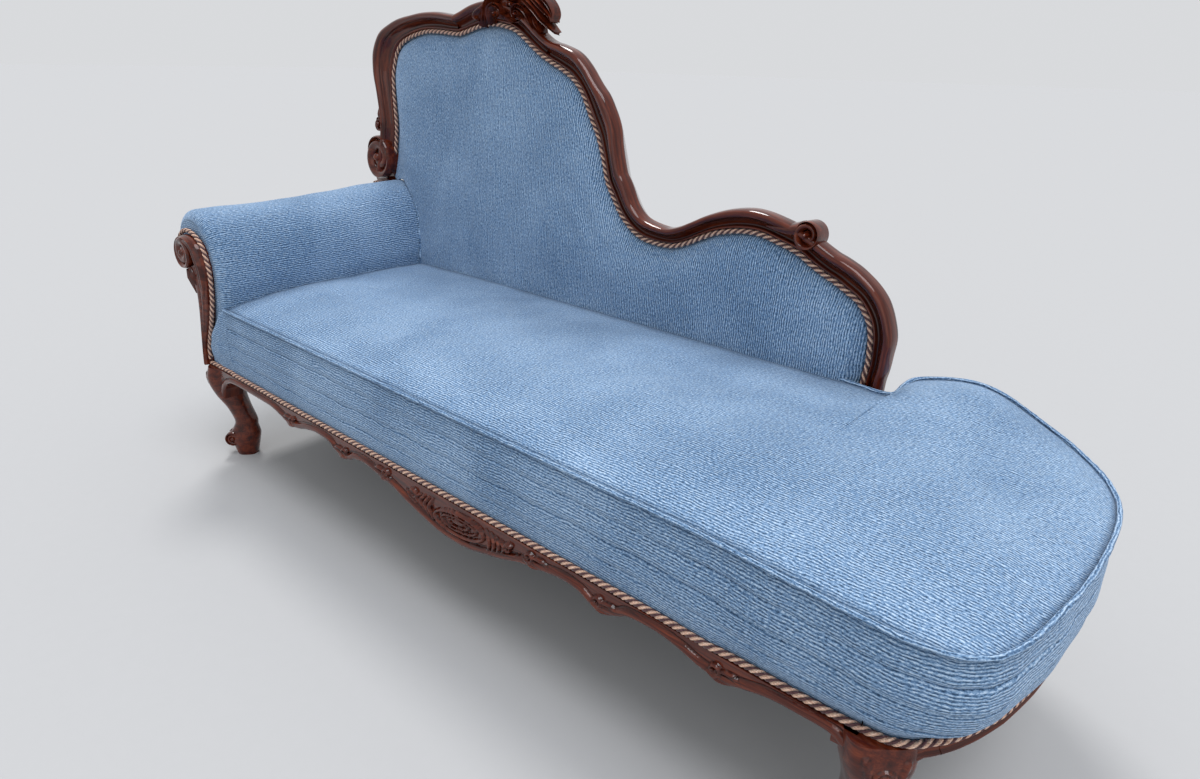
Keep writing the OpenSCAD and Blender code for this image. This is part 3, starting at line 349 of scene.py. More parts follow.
class Finish:
    """A procedural material. The keywords set constants on its shader's own sockets."""

    def __init__(self, name, **constants):
        self.material = bpy.data.materials.new(name)
        self.material.use_nodes = True
        self.tree = self.material.node_tree
        self.shader = self.tree.nodes["Principled BSDF"]
        for socket, value in constants.items():
            self.shader.inputs[socket.replace("_", " ")].default_value = value

    def node(self, kind, settings=None, inputs=None, output=0):
        """Adds a node: its settings first, then the values or wires of its sockets."""
        node = self.tree.nodes.new(kind)
        for key, value in (settings or {}).items():
            if key == "stops":
                stops = node.color_ramp.elements
                while len(stops) < len(value):
                    stops.new(0.5)
                for stop, (place, colour) in zip(stops, value):
                    stop.position, stop.color = place, (*colour, 1)
            else:
                setattr(node, key, value)
        for key, value in (inputs or {}).items():
            if isinstance(value, Wire):
                self.tree.links.new(value.socket, node.inputs[key])
            elif value is not None:
                node.inputs[key].default_value = value
        return Wire(self, node.outputs[output])

    def coordinates(self, kind, scale=(1, 1, 1)):
        """Texture coordinates of a kind, scaled."""
        place = self.node("ShaderNodeTexCoord", output=kind)
        return self.node("ShaderNodeMapping", None, {"Vector": place, "Scale": scale})

    def noise(self, vector, scale, detail, distortion=0.0):
        """Noise over a place."""
        return self.node("ShaderNodeTexNoise", None,
                         {"Vector": vector, "Scale": scale, "Detail": detail, "Distortion": distortion})

    def axis(self, vector, name):
        """One axis of a vector."""
        return self.node("ShaderNodeSeparateXYZ", None, {0: vector}, name)

    def ramp(self, factor, *stops):
        """A colour ramp with stops of place and colour."""
        return self.node("ShaderNodeValToRGB", {"stops": stops}, {0: factor})

    def blend(self, factor, a, b):
        """Colour a at factor 0 and b at 1."""
        return self.node("ShaderNodeMix", {"data_type": "RGBA"}, {0: factor, 6: a, 7: b}, 2)

    def drive(self, socket, wire):
        """Lets a wire set one of the shader's sockets."""
        self.tree.links.new(wire.socket, self.shader.inputs[socket])
        return self

    def paint(self, colour, dark):
        """The base colour, darkened towards dark by the mesh's painted shade in its recesses."""
        hollow = self.node("ShaderNodeAttribute", {"attribute_name": "hollow"}, None, "Fac")
        return self.drive("Base Color", self.blend(hollow, colour, (*dark, 1)))

    def bump(self, height, distance, strength):
        """A bumpy surface from a height."""
        return self.drive("Normal", self.node("ShaderNodeBump", None, {
            "Height": height, "Distance": distance, "Strength": strength}))

    def weave(self, place):
        """Threads that go over and under each other, as a product of two sines."""
        return (self.axis(place, "X").maths("SINE") * self.axis(place, "Y").maths("SINE")) * 0.5 + 0.5


def lacquered_wood(name, coordinates, scale):
    """Dark red-brown mahogany under clear lacquer: long grain streaks, pores, and painted shade in carved
    recesses.
    """
    f = Finish(name, Roughness=0.4, Coat_Weight=1.0, Coat_Roughness=0.05, Coat_IOR=1.4,
               Specular_IOR_Level=0.05)
    place, still = f.coordinates(coordinates, scale), f.coordinates("Object")
    streaks, fine = f.noise(place, 9.0, 4.0, 0.6), f.noise(place, 60.0, 2.0)
    grain = f.ramp(streaks * 0.75 + fine * 0.25, (0.34, (0.026, 0.0032, 0.0014)),
                   (0.5, (0.076, 0.0108, 0.0036)), (0.68, (0.155, 0.029, 0.009)))
    # painted shade: near-black brown blended in where the mesh marks carved recesses and coves
    f.paint(grain, (0.008, 0.0008, 0.0006))
    f.drive("Roughness", f.noise(still, 14.0, 3.0) * 0.25 + 0.28)
    return f.bump(f.noise(still, 30.0, 2.0) + fine * 0.3, 0.0003, 0.3)


def plain_wood(name):
    """Pale frame hardwood: straight grain, a little darker in streaks."""
    f = Finish(name, Roughness=0.6)
    streaks = f.noise(f.coordinates("Object", (0.6, 6, 6)), 12.0, 5.0, 0.4)
    f.drive("Base Color", f.ramp(streaks, (0.3, (0.34, 0.2, 0.1)), (0.7, (0.56, 0.38, 0.21))))
    return f.bump(streaks, 0.0006, 0.3)


# From one rib of the chenille to the next, in metres
RIB_PITCH = 0.0045


def chenille(name):
    """Ribbed chenille on the piece's own UV, in metres: u along the ribs and v across them. Slubs break
    the ribs into dashes, and broad clouds lighten and darken the pile."""
    f = Finish(name, Roughness=0.85, Sheen_Weight=0.4, Sheen_Roughness=0.45, Specular_IOR_Level=0.15)
    f.shader.inputs["Sheen Tint"].default_value = (0.62, 0.75, 0.92, 1)
    wobble = f.noise(f.coordinates("UV", (30, 60, 1)), 1.0, 2.0)
    rows = f.axis(f.coordinates("UV"), "Y") * (1 / RIB_PITCH) + wobble * 1.8
    rib = (rows * TURN).maths("COSINE") * 0.5 + 0.5
    slub = f.noise(f.coordinates("UV", (190, 520, 1)), 1.0, 2.0)
    fleck = f.noise(f.coordinates("UV", (430, 820, 1)), 1.0, 1.0)
    cloud = f.noise(f.coordinates("Object"), 5.0, 4.0, 0.4)
    tone = (rib - 0.5) * 0.5 + (slub - 0.5) * 1.45 + (fleck - 0.5) * 0.8 + (cloud - 0.5) * 0.42 + 0.5
    colour = f.ramp(tone, (0.1, (0.024, 0.052, 0.100)), (0.38, (0.086, 0.168, 0.300)),
                    (0.62, (0.192, 0.315, 0.488)), (0.92, (0.45, 0.585, 0.74)))
    # painted shade: dark navy blended in where the mesh marks shade at seams, welts and creases
    return f.paint(colour, (0.02, 0.045, 0.09)).bump(rib * 0.8 + slub * 0.9 + fleck * 0.4, 0.0010, 0.8)


def twisted_rope(name):
    """Cord of pale and dark strands by turns. UV u counts the strands and v is centimetres along."""
    f = Finish(name, Roughness=0.6, Sheen_Weight=0.25, Specular_IOR_Level=0.35)
    uv = f.coordinates("UV")
    strand, along = f.axis(uv, "X"), f.axis(uv, "Y")
    dark = (strand * 0.5).maths("FRACT").maths("GREATER_THAN", 0.56)
    thread = ((strand * 3 + along * 4.2) * TURN).maths("COSINE") * 0.5 + 0.5
    fleck = f.noise(f.coordinates("Object"), 420.0, 2.0)
    pale = f.ramp(fleck, (0.3, (0.60, 0.33, 0.23)), (0.55, (0.84, 0.56, 0.41)), (0.8, (0.93, 0.76, 0.62)))
    deep = f.ramp(fleck, (0.3, (0.030, 0.010, 0.014)), (0.75, (0.12, 0.040, 0.045)))
    colour = f.blend((thread ** 3) * 0.3, f.blend(dark, pale, deep), (0.16, 0.06, 0.05, 1))
    # painted shade: dark red-brown blended in where the strands meet
    return f.paint(colour, (0.03, 0.012, 0.012)).bump(thread + fleck * 0.5, 0.0004, 0.6)


def strap_web(name):
    """Jute webbing: over and under threads, darker between them."""
    f = Finish(name, Roughness=0.9)
    place = f.coordinates("Object", (420, 420, 420))
    weave = f.weave(place)
    colour = f.ramp(weave * 0.6 + f.noise(place, 0.3, 2.0) * 0.4,
                    (0.2, (0.13, 0.095, 0.055)), (0.8, (0.34, 0.27, 0.17)))
    return f.drive("Base Color", colour).bump(weave, 0.0006, 0.6)


def black_cambric(name):
    """Thin dark cloth under the seat, a fine plain weave."""
    f = Finish(name, Roughness=0.95)
    weave = f.weave(f.coordinates("Object", (1500, 1500, 1500)))
    f.drive("Base Color", f.ramp(weave, (0.2, (0.008, 0.008, 0.009)), (0.8, (0.028, 0.027, 0.03))))
    return f.bump(weave, 0.0003, 0.5)


def zinc_steel(name):
    """Zinc-plated steel, lightly brushed and spotted."""
    f = Finish(name, Metallic=1.0, Roughness=0.35)
    spots = f.noise(f.coordinates("Object"), 90.0, 3.0)
    f.drive("Base Color", f.ramp(spots, (0.3, (0.42, 0.42, 0.40)), (0.7, (0.64, 0.64, 0.62))))
    return f.drive("Roughness", spots * 0.3 + 0.22).bump(spots, 0.0002, 0.3)


mahogany_run = lacquered_wood("mahogany_run", "UV", (1.4, 16, 1))
mahogany_block = lacquered_wood("mahogany_block", "Object", (1.6, 9, 9))
frame_wood = plain_wood("frame_wood")
blue_chenille = chenille("blue_chenille")
rope_cord = twisted_rope("rope_cord")
webbing = strap_web("webbing")
cambric = black_cambric("cambric")
steel = zinc_steel("steel")


# The seat: its outline in shares of its length and depth, and the tuck of its foot round the end
FRONT = np.array([[0, 0], [0.1, 0], [0.2, 0], [0.3, 0], [0.4, 0], [0.5, 0], [0.6, 0], [0.69, 0],
                  [0.748, 0], [0.77, -0.002], [0.779, -0.003], [0.79, -0.004], [0.812, -0.008],
                  [0.848, -0.014], [0.89, -0.02], [0.93, -0.022], [0.958, -0.004], [0.975, 0.036]])
WELL = np.array([0, 0.1, 0.2, 0.3, 0.4, 0.5, 0.6, 0.69, 0.74])
REAR = np.array([[0.785, 0.815], [0.786, 0.9], [0.789, 0.965], [0.808, 0.997], [0.846, 1], [0.887, 0.978],
                 [0.929, 0.915], [0.961, 0.835], [0.981, 0.77]])
END = np.array([[0.975, 0.036], [0.984, 0.1], [0.991, 0.2], [0.997, 0.32], [1, 0.455], [0.999, 0.59],
                [0.993, 0.69], [0.981, 0.77]])
TUCKS = [0.27, 0.46, 0.68, 1.05, 1.87, 2.05, 1.73, 1.2, 1, 0.9, 0.9, 1, 1.3, 1.5, 1.3, 0.9, 0.5, 0.3, 0.15]
TUCK_FIRST, NU, NV, WELL_N = 12, len(FRONT) - 1, len(END) - 1, len(WELL)
WELL_END, REAR_LEFT = 2 * NU + NV - WELL_N + 1, 2 * NU + NV
SEAT = np.array([SEAT_L, SEAT_D])
FINE = 40
# The pillow beside the backrest's end: its place and width in shares of the length, and its height.
# Then the shares of the length at which the foot end's fuller form begins and is whole.
PILLOW_AT, PILLOW_W, PILLOW_H = 0.85, 0.05, 21
FOOT_FROM, FOOT_FULL = 0.74, 0.87
# The last place of the rear line that runs along the backrest, and the place where the crown falls
WALL_END, FALL_FROM = 8.5, 11

front_line = curve(FRONT * SEAT, FINE)
well_points = np.stack([WELL * SEAT_L, np.full(WELL_N, float(WELL_D))], 1)
rear_line = curve(np.vstack([well_points, REAR * SEAT]), FINE)
end_line = curve(END * SEAT, FINE)


def along(line, place):
    """A line of FINE steps at places counted in its own points."""
    n = np.arange(len(line)) / FINE
    return np.stack([np.interp(place, n, column) for column in line.T], -1)


def even_places(count, *lines):
    """Places that lie evenly along the mean of the lines."""
    run = sum(run_of(line) for line in lines)
    return np.interp(np.linspace(0, run[-1], count), run, np.arange(len(lines[0])) / FINE)


def crown(i, j):
    """Rise of the seat's top over the seam. It stays up along the backrest and the arm, and at the round
    end it is full to near the edge, over a seam that itself rises towards the backrest."""
    v, share = 2 * j / NV - 1, j / NV
    x = (along(front_line, i)[..., 0] * (1 - share) + along(rear_line, i)[..., 0] * share) / SEAT_L
    foot = smooth(x, FOOT_FROM, FOOT_FULL)
    rise = np.where(i <= FALL_FROM, 1 - 0.25 * (1 - np.minimum(1, i / 2)) ** 2,
                    1 - (np.maximum(i - FALL_FROM, 0) / (NU - FALL_FROM)) ** 2.5)
    seam = 0.75 - 0.15 * foot - 0.25 * smooth(i, 10, NU)
    rear = 1 - (1 - seam) * np.abs(v) ** (2.5 + 4 * foot)
    across = np.where(v < 0, 1 - np.abs(v) ** 2.5, rear)
    pillow = PILLOW_H * bell(x, PILLOW_AT, PILLOW_W) * smooth(v, 0.1, 1)
    return pillow + CROWN_H * rise * (1 + 0.45 * foot * smooth(v, 0.1, 0.8)) * across


# The rim: points round the seam, their places counted on from the front line, rise, way out and tuck
long_at, end_at = even_places(236, front_line, rear_line), even_places(90, end_line)
rim = np.vstack([along(front_line, long_at), along(end_line, end_at)[1:-1], along(rear_line, long_at)[::-1],
                 np.stack([np.zeros(len(end_at)), WELL_D * end_at / NV], 1)[1:-1][::-1]])
rim_place = np.concatenate([long_at, NU + end_at[1:-1], (REAR_LEFT - long_at)[::-1],
                            (REAR_LEFT + NV - end_at)[1:-1][::-1]])
rim_rise = np.concatenate([np.zeros(len(long_at) + len(end_at) - 2),
                           crown(long_at, np.full(len(long_at), NV))[::-1],
                           crown(np.zeros(len(end_at)), end_at)[1:-1][::-1]])
rim_out = -left_of(unit(np.roll(rim, -1, 0) - np.roll(rim, 1, 0)))
rim_run = run_of(rim)
rim_tuck = np.interp(rim_place, np.arange(TUCK_FIRST - 1, TUCK_FIRST + len(TUCKS) + 1), [0, *TUCKS, 0])
rim_well = smooth(rim_place, WELL_END - 0.6, WELL_END + 0.1) * (rim_place <= REAR_LEFT + 0.01)
# The boxing's profile: height, swell and tuck, all as shares, and the heights of its folds
SWELLS = curve([[0, 0, 1], [0.065, 0, 1], [0.2, 0.6, 0.5], [0.38, 0.95, 0.2], [0.6, 0.95, 0],
                [0.82, 0.55, 0], [0.93, 0.32, 0], [1, 0, 0]], 12)
FOLDS, FOLD_D = (0.27, 0.5, 0.74), 4.2


def boxing_relief(s, h):
    """Small relief of the boxing outwards: the foam layers' three fold lines, slow waves and puckers
    that die out below the seam."""
    z = h * BOXING_H
    folds = sum(-FOLD_D * bell(h - 0.012 * ripple(s, 0 * s, 420, 7 + k), f, 0.02)
                * (0.7 + 0.3 * ripple(s, 0 * s, 300, 31 + k)) + 1.6 * bell(h, f + 0.07, 0.05)
                for k, f in enumerate(FOLDS))
    waves = 1.7 * ripple(s, z * 0.6, 170, 3) * smooth(h, 0, 0.2)
    tucks = 1.3 * np.exp(-(1 - h) * BOXING_H / 16) * ripple(s, z * 0.2, 26, 11) * smooth(1 - h, 0, 0.03)
    return (folds + waves) * smooth(1 - h, 0.0, 0.12) * smooth(h, 0.02, 0.1) + tucks


def rim_at(h, extra=0.0):
    """A ring of the boxing at a share of its height, moved out by extra."""
    h = np.asarray(h, float)[:, None]
    swell, tuck = (np.interp(h, SWELLS[:, 0], SWELLS[:, k]) for k in (1, 2))
    side = rim_place > REAR_LEFT
    off = (1 - rim_well) * (swell * SWELL - tuck * rim_tuck * BASE_TUCK + extra) - rim_well * GAP
    off = np.where(side, 0, off)
    x = rim[:, 0] + rim_out[:, 0] * off + side * GAP
    y = rim[:, 1] + rim_out[:, 1] * off - rim_well * (1 - h) * BOXING_H * np.tan(LEAN)
    return np.stack([x, y, BASE_H + h * (BOXING_H + rim_rise)], -1)


def seat_top(shape):
    """A grid across the seat from the front line to the rear line, pushed out to the round end and
    crowned. edge and wall are the distances to the open seam and to the backrest or the arm."""
    i, j = long_at[:, None], end_at[None]
    v = (j / NV)[..., None]
    front, rear = along(front_line, long_at)[:, None], along(rear_line, long_at)[:, None]
    end = along(end_line, end_at)[None]
    bulge = end - (end[:, :1] * (1 - v[:1]) + end[:, -1:] * v[:1])
    q = front * (1 - v) + rear * v + bulge * ((i / NU) ** 12)[..., None]
    x, y = q[..., 0], q[..., 1]
    rear_gap = np.linalg.norm(q - rear, axis=-1)
    edge = np.minimum(np.linalg.norm(q - front, axis=-1), np.linalg.norm(q - q[-1:], axis=-1))
    edge = np.minimum(edge, np.where(i > WALL_END, rear_gap, SEAT_L))
    wall = np.minimum(np.where(i <= WALL_END, rear_gap, SEAT_L), x)
    relief = (1.5 * ripple(x, y, 240, 21) * smooth(edge, 5, 120)
              + 0.8 * ripple(x, y, 95, 22) * smooth(edge, 5, 80)
              + 0.8 * ripple(x, y, 30, 23) * np.exp(-edge / 24)
              + 1.7 * ripple(x, y, 60, 24, heading=1.2, spread=0.7) * bell(x, 150, 160) * bell(y, 200, 190)
              - 2.2 * np.exp(-edge / 9) - 4.5 * np.exp(-wall / 9) * (i < WALL_END - 1))
    z = SEAM_H + crown(i, j) + relief * smooth(edge, 0, 14) * smooth(wall, 0, 10)
    # painted shade darkens the top along the open seam and where it meets the backrest and the arm
    shape.grid(placed(np.dstack([q, z])), uv_of(x, y), out=(0, 0, 1),
               hollow=0.8 * bell(edge, 0, 6) + 0.8 * bell(wall, 0, 10))


def seat_cushion():
    """The top, and rings from the seam down to the cord that share the seam's points. Below, the foot
    turns in over the rails."""
    shape = Shape()
    seat_top(shape)
    h = np.concatenate([[0, 0.02, 0.045], np.linspace(0.07, 0.97, 52), [0.985, 1]])
    ring = rim_at(h)
    relief = boxing_relief(rim_run[None], h[:, None]) * (1 - rim_well) * (rim_place <= REAR_LEFT)
    ring[..., :2] += rim_out * (relief * smooth(rim_run, 0, 30))[..., None]
    ring = np.vstack([rim_at([0, 0.42], -COVER_T - 5)[::-1], ring])
    z = ring[..., 2]
    u = np.append(rim_run, rim_run[-1] + np.linalg.norm(rim[-1] - rim[0]))
    # painted shade darkens the boxing under the seam and at its foot by the cord
    shape.grid(placed(ring), uv_of(u[None], np.append(z, z[:, :1], 1)), wrap=True,
               away=placed([800, 320, 330]),
               hollow=0.75 * bell(SEAM_H + rim_rise - z, 0, 6) + 0.55 * bell(z, BASE_H, 9))
    shape.lid(placed(ring[0]), (0, 0, -1))
    padded_piece(shape, "seat_cushion", ("seat_cover", "lower_foam", "upper_foam"), weld=2e-5)


# The corner's left edge: height as a share, and x in arm widths
FLAP = np.array([[0, -0.57], [0.15, -0.55], [0.32, -0.5], [0.51, -0.41], [0.69, -0.29], [0.8, -0.23],
                 [0.9, -0.16], [0.965, -0.07], [0.99, 0.0], [1.0, 0.03]])


def seat_corner():
    """The boxing's end, which wraps past the arm's front: rows of points from its round left edge to
    the boxing, closed along its back."""
    inner_x, front_y, back_y, round_w = 10, 3.9, 4.2, 20
    h = np.linspace(0, 0.997, 46)[:, None]
    left = np.interp(h, FLAP[:, 0], FLAP[:, 1]) * ARM_W
    x = left + np.linspace(0, 1, 30)[None] ** 1.5 * (inner_x - left)
    z = BASE_H + h * BOXING_H
    swell = np.interp(h, SWELLS[:, 0], SWELLS[:, 1]) * SWELL
    rounded = np.sqrt(1 - (1 - np.clip((x - left) / round_w, 0, 1)) ** 2)
    bulge = 5 * bell(x, -55, 42) * np.sin(np.pi * np.clip(h, 0, 1)) ** 0.7
    fold = ripple(x, h * BOXING_H, 45, 5) * smooth(-x, 0, 30)
    y = front_y - rounded * (front_y + swell + bulge + fold)
    front = np.stack([x, y, np.broadcast_to(z, x.shape)], -1)
    back = front[:, ::-1].copy()
    back[..., 1] = back_y
    ring = np.hstack([front, back])
    shape = Shape()
    shape.grid(placed(ring), uv_of(np.append(ring[..., 0], ring[:, :1, 0], 1), z), wrap=True, ends=True)
    padded_piece(shape, "seat_corner", ("seat_cover",), crease=60)


def seam_welt():
    """Piping of the same cloth along the seam, with small puckers, from the arm round to the backrest."""
    out, sides, round_uv = 2.6, 14, 0.022
    path = np.column_stack([rim + rim_out * out, SEAM_H + 0.55 * WELT_R + rim_rise])
    path = path[rim_place <= WELL_END + 0.35]
    path[0, 0] = 2
    path = even(placed(path), 0.0035)
    s, a = run_of(path)[:, None], np.arange(sides)[None]
    r = 1 + 0.07 * ripple(s * 1000, a * 3.0, 17, 41) + 0.05 * ripple(s * 1000, 0 * a, 60, 42)
    rings = swept(path, (0.3, 0.2, 1.0), TURN * a / sides, r * WELT_R / 1000)
    uv = np.stack(np.broadcast_arrays(s, round_uv * np.arange(sides + 1)[None] / sides), -1)
    shape = Shape()
    shape.grid(rings, uv, wrap=True, ends=True)
    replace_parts(shape.make("seam_welt", blue_chenille, "chenille"), "seat_welt")


def seat_cord():
    """Cord along the foot of the boxing, from the arm facing round to the backrest."""
    off = CORD_R + GAP
    path = rim_at([0.0], off)[0][rim_place <= WELL_END - 2.6]
    path = np.vstack([[[-0.585 * ARM_W, -off, 0]], path])
    path[:, 2] = BASE_H + off
    twisted_cord("gimp_seat", "seat_cord", placed(path))


# The backrest: its fabric's edge as shares of length and height, with the moulding's width in frame
# widths, from the arm up to the first cusp, over the arch, and down the sweep
LEFT = [[-0.046, 0.509, 0.85], [-0.031, 0.6, 0.85], [-0.025, 0.678, 0.82], [-0.0265, 0.729, 0.82],
        [-0.0295, 0.801, 0.96], [-0.029, 0.849, 1.2], [-0.023, 0.887, 1.4], [-0.013, 0.926, 1.3],
        [0.003, 0.954, 0.95], [0.027, 0.972, 0.82], [0.056, 0.985, 0.72], [0.086, 0.992, 0.7],
        [0.122, 0.991, 0.72], [0.156, 0.986, 0.7], [0.177, 0.984, 0.68]]
ARCH = [[0.177, 0.984, 0.68], [0.199, 0.992, 0.72], [0.226, 1.0035, 0.78], [0.252, 1.01, 0.8],
        [0.278, 1.009, 0.8], [0.303, 1.002, 0.8], [0.323, 0.992, 0.8], [0.343, 0.973, 0.78],
        [0.363, 0.95, 0.75], [0.381, 0.931, 0.72], [0.395, 0.919, 0.7]]
SWEEP = [[0.395, 0.919, 0.7], [0.408, 0.909, 0.72], [0.426, 0.896, 0.8], [0.449, 0.8765, 0.88],
         [0.466, 0.855, 0.86], [0.48, 0.828, 0.86], [0.492, 0.793, 1.03], [0.502, 0.762, 1.08],
         [0.516, 0.722, 1.05], [0.526, 0.68, 0.92], [0.533, 0.644, 0.88], [0.541, 0.602, 0.9],
         [0.5535, 0.568, 0.92], [0.57, 0.527, 0.85], [0.587, 0.499, 0.78], [0.6035, 0.48, 0.75],
         [0.622, 0.469, 0.72], [0.65, 0.4645, 0.65], [0.6735, 0.467, 0.6], [0.697, 0.481, 0.57],
         [0.719, 0.5, 0.56], [0.745, 0.52, 0.6], [0.7745, 0.533, 0.68], [0.803, 0.538, 0.73],
         [0.825, 0.535, 0.74], [0.847, 0.525, 0.76], [0.8645, 0.517, 0.75], [0.882, 0.506, 0.76],
         [0.9, 0.488, 0.78], [0.921, 0.47, 0.78], [0.9375, 0.458, 0.8], [0.954, 0.443, 0.82],
         [0.972, 0.4255, 0.77], [0.984, 0.4025, 0.78], [0.993, 0.378, 0.73], [0.998, 0.347, 0.74],
         [1.0, 0.315, 0.67], [1.001, 0.2835, 0.62], [0.9995, 0.252, 0.6], [0.999, 0.18, 0.6],
         [0.998, 0.11, 0.6]]
# The sweep's point under the scroll, the columns of the panel over the arm, the steps from point to
# point, and the distance between the moulding's rings
SCROLL_AT, ARM_COLUMNS, EDGE_STEPS, RING_STEP = 27, 132, 12, 5.0


def back_points(shares):
    """The edge's points in millimetres, each with the width of the moulding."""
    return np.asarray(shares) * [BACK_L, BACK_H, FRAME_W] + [-BACK_SIDE, BASE_H, 0]


left_edge, arch_edge, sweep_edge = (curve(back_points(s), EDGE_STEPS) for s in (LEFT, ARCH, SWEEP))
sweep_edge, end_edge = sweep_edge[:SCROLL_AT * EDGE_STEPS + 1], sweep_edge[SCROLL_AT * EDGE_STEPS:]
back_edge = np.vstack([left_edge[:-1], arch_edge[:-1], sweep_edge[:-1], end_edge])

# The moulding's section from the fabric outwards: across in frame widths, forward in bead heights
SECTION = curve([[0.0, 0.02], [0.03, 0.2], [0.07, 0.33], [0.115, 0.36], [0.16, 0.3], [0.19, 0.17],
                 [0.21, 0.13], [0.26, 0.11], [0.33, 0.16], [0.4, 0.28], [0.46, 0.45], [0.5, 0.6],
                 [0.52, 0.66]], 4)
BEAD = curve([[0.525, 0.665], [0.545, 0.63], [0.56, 0.7], [0.6, 0.83], [0.66, 0.94], [0.73, 1.0],
              [0.8, 1.0], [0.87, 0.93], [0.93, 0.78], [0.97, 0.56], [0.99, 0.3], [1.0, 0.0]], 4)
OUTER = curve([[1.0, -0.05], [0.95, -0.16], [0.83, -0.33], [0.66, -0.6], [0.46, -0.88], [0.38, -1.0]], 3)
# Depth of the rebate for the outside back's cloth
REBATE_Y = 0.92 * FRAME_BACK


def section(width):
    """Across and depth of the whole section, for rings of these widths: the face, the round outer side,
    the rear, and the lip behind the fabric."""
    w = width[:, None]
    face = np.vstack([SECTION, BEAD])
    lip = np.array([[-LIP_W, REBATE_Y], [-LIP_W, 0.2 * FRAME_BACK], [0, 0.2 * FRAME_BACK]])
    t = np.hstack([face[:, 0] * w, OUTER[1:, 0] * w, np.repeat([[0.1, 0.1]], len(w), 0) * w,
                   np.repeat(lip[None, :, 0], len(w), 0)])
    y = np.concatenate([-face[:, 1] * BEAD_PROUD, -OUTER[1:, 1] * FRAME_BACK, [FRAME_BACK, REBATE_Y],
                        lip[:, 1]])
    return t, np.broadcast_to(y, t.shape)


def mitred(p, way, cusp, normal, side, index):
    """Cuts rings at a mitre: points past the plane slide back along their own way onto it, and the
    ring at index lands on it whole."""
    gap = (p - cusp) @ normal
    slide = (gap * side > 0)
    slide[index] = True
    step = gap / (way @ normal)[:, None]
    return p - way[:, None] * (step * slide)[..., None]


def moulding(name, node, edge, start=None, end=None):
    """The section carried along the fabric's edge. A mitre lies halfway between the ways on both of its
    sides. The section's two coves get painted shade."""
    line = even(edge, RING_STEP, 2)
    way = way_of(line[:, :2])
    t, y = section(line[:, 2])
    p = line[:, None, :2] + left_of(way)[:, None] * t[..., None]
    if start is not None:
        p = mitred(p, way, line[0, :2], unit(start + way[0]), -1, 0)
    if end is not None:
        p = mitred(p, way, line[-1, :2], unit(end + way[-1]), 1, -1)
    around = run_of(np.stack([t[0], y[0]], 1))
    uv = uv_of(run_of(line[:, :2])[:, None], np.append(around, around[-1] + 10)[None])
    share = t / line[:, 2:3]
    # painted shade in the two coves
    hollow = (0.75 * bell(share, 0.24, 0.06) + 0.55 * bell(share, 0.54, 0.022)) * (y < 3)
    run_piece(name, node, leaned(upright(p, y)), uv, hollow, 32)


def end_way(edge, index):
    """The way of an edge at its first or last ring."""
    return way_of(even(edge, RING_STEP, 2)[:, :2])[index]


# The line in which the back panel meets the arm, in arm widths and heights
JUNCTION = [[-0.53, 1.055], [-0.44, 1.05], [-0.35, 1.03], [-0.16, 0.935], [-0.025, 0.78], [0.02, 0.6],
            [0.01, 0.23]]


def panel_front(i, edge_n):
    """Foot of the panel's column at place i of the edge, on the arm or on the seat."""
    junction = curve(np.array(JUNCTION) * [ARM_W, ARM_H] + [0, BASE_H], 12)
    last = len(junction) - 1
    t = np.clip((i - ARM_COLUMNS) / (edge_n - 1 - ARM_COLUMNS), 0, 1)[:, None]
    foot = back_edge[-1, :2] - [FRAME_W, 0]
    on_seat = junction[-1] * (1 - t) + foot * t
    on_seat[:, 1] = foot[1]
    on_arm = np.stack([np.interp(i * last / ARM_COLUMNS, np.arange(last + 1), q) for q in junction.T], 1)
    return np.where((i < ARM_COLUMNS)[:, None], on_arm, on_seat)


# The panel's puff at shares of the way from its top to its foot
PUFFS = ((0.03, 0.7), (0.07, 0.82), (0.13, 0.9), (0.22, 0.96), (0.34, 1), (0.48, 1.02), (0.62, 1.02),
         (0.76, 1), (0.88, 1), (1, 0.98))


def back_panel():
    """Columns from the cord down to the arm and the seat. Down a column the cloth comes out of the
    rebate, swells to the panel's puff and dives behind the seat. Each knot is a row of points with a
    depth, and the puff is calm at the lower left."""
    n = len(back_edge)
    i = np.arange(n)
    edge = back_edge[:, :2]
    near = left_of(way_of(edge))
    top = edge - near * 1.5 * LIP_W
    foot = panel_front(i, n)
    length = np.linalg.norm(foot - top, axis=1)
    knots = [(edge - near * GAP, 8.0), (edge - near * GAP, 5.0), (edge - near * 5, 4.6),
             (edge - near * (CORD_D + 1), 3.0), (edge - near * 17, -6.5), (top, -13.5)]
    knots += [(top + (foot - top) * share, -puff * BACK_PUFF) for share, puff in PUFFS]
    knots.append((foot + unit(foot - top) * 4, 8.0))
    calm = 0.25 + 0.75 * smooth(i, 6, 80)
    k = np.array([upright(q, y * (calm if y < 0 else 1)) for q, y in knots])
    rows = curve(k.reshape(len(k), -1), 6).reshape(-1, n, 3)
    x, z = rows[..., 0], rows[..., 2]
    inner = smooth(np.linspace(0, len(k) - 1, len(rows))[:, None], 4, 7)
    wrinkle = (1.3 * ripple(x, z, 210, 51) + 0.6 * ripple(x, z, 80, 52)
               + 1.6 * ripple(x, z, 55, 53, heading=0.5, spread=0.5) * bell(x, 600, 90) * bell(z, 660, 100)
               + 1.0 * ripple(x, z, 45, 54, heading=1.3, spread=0.5) * bell(x, -30, 50) * bell(z, 700, 110))
    rows[..., 1] += wrinkle * inner * smooth(length, 20, 90)
    shape = Shape()
    shape.grid(leaned(rows), uv_of(z, x), out=(0, -1, 0))
    padded_piece(shape, "back_panel", ("inside_back_cover", "back_foam"), thickness=CLOTH_T)


def back_gimp():
    """Cord along the panel's edge, which starts on the arm's top and ends at the seat."""
    edge = back_edge[:, :2]
    line = (edge - left_of(way_of(edge)) * (CORD_R + GAP))[3:-14]
    start = np.array([[-240, 615], [-226, 619], [-209, 624], [-191, 630], [-174, 637]])
    twisted_cord("gimp_back", "back_cord", leaned(upright(np.vstack([start, line]), -4.0)))


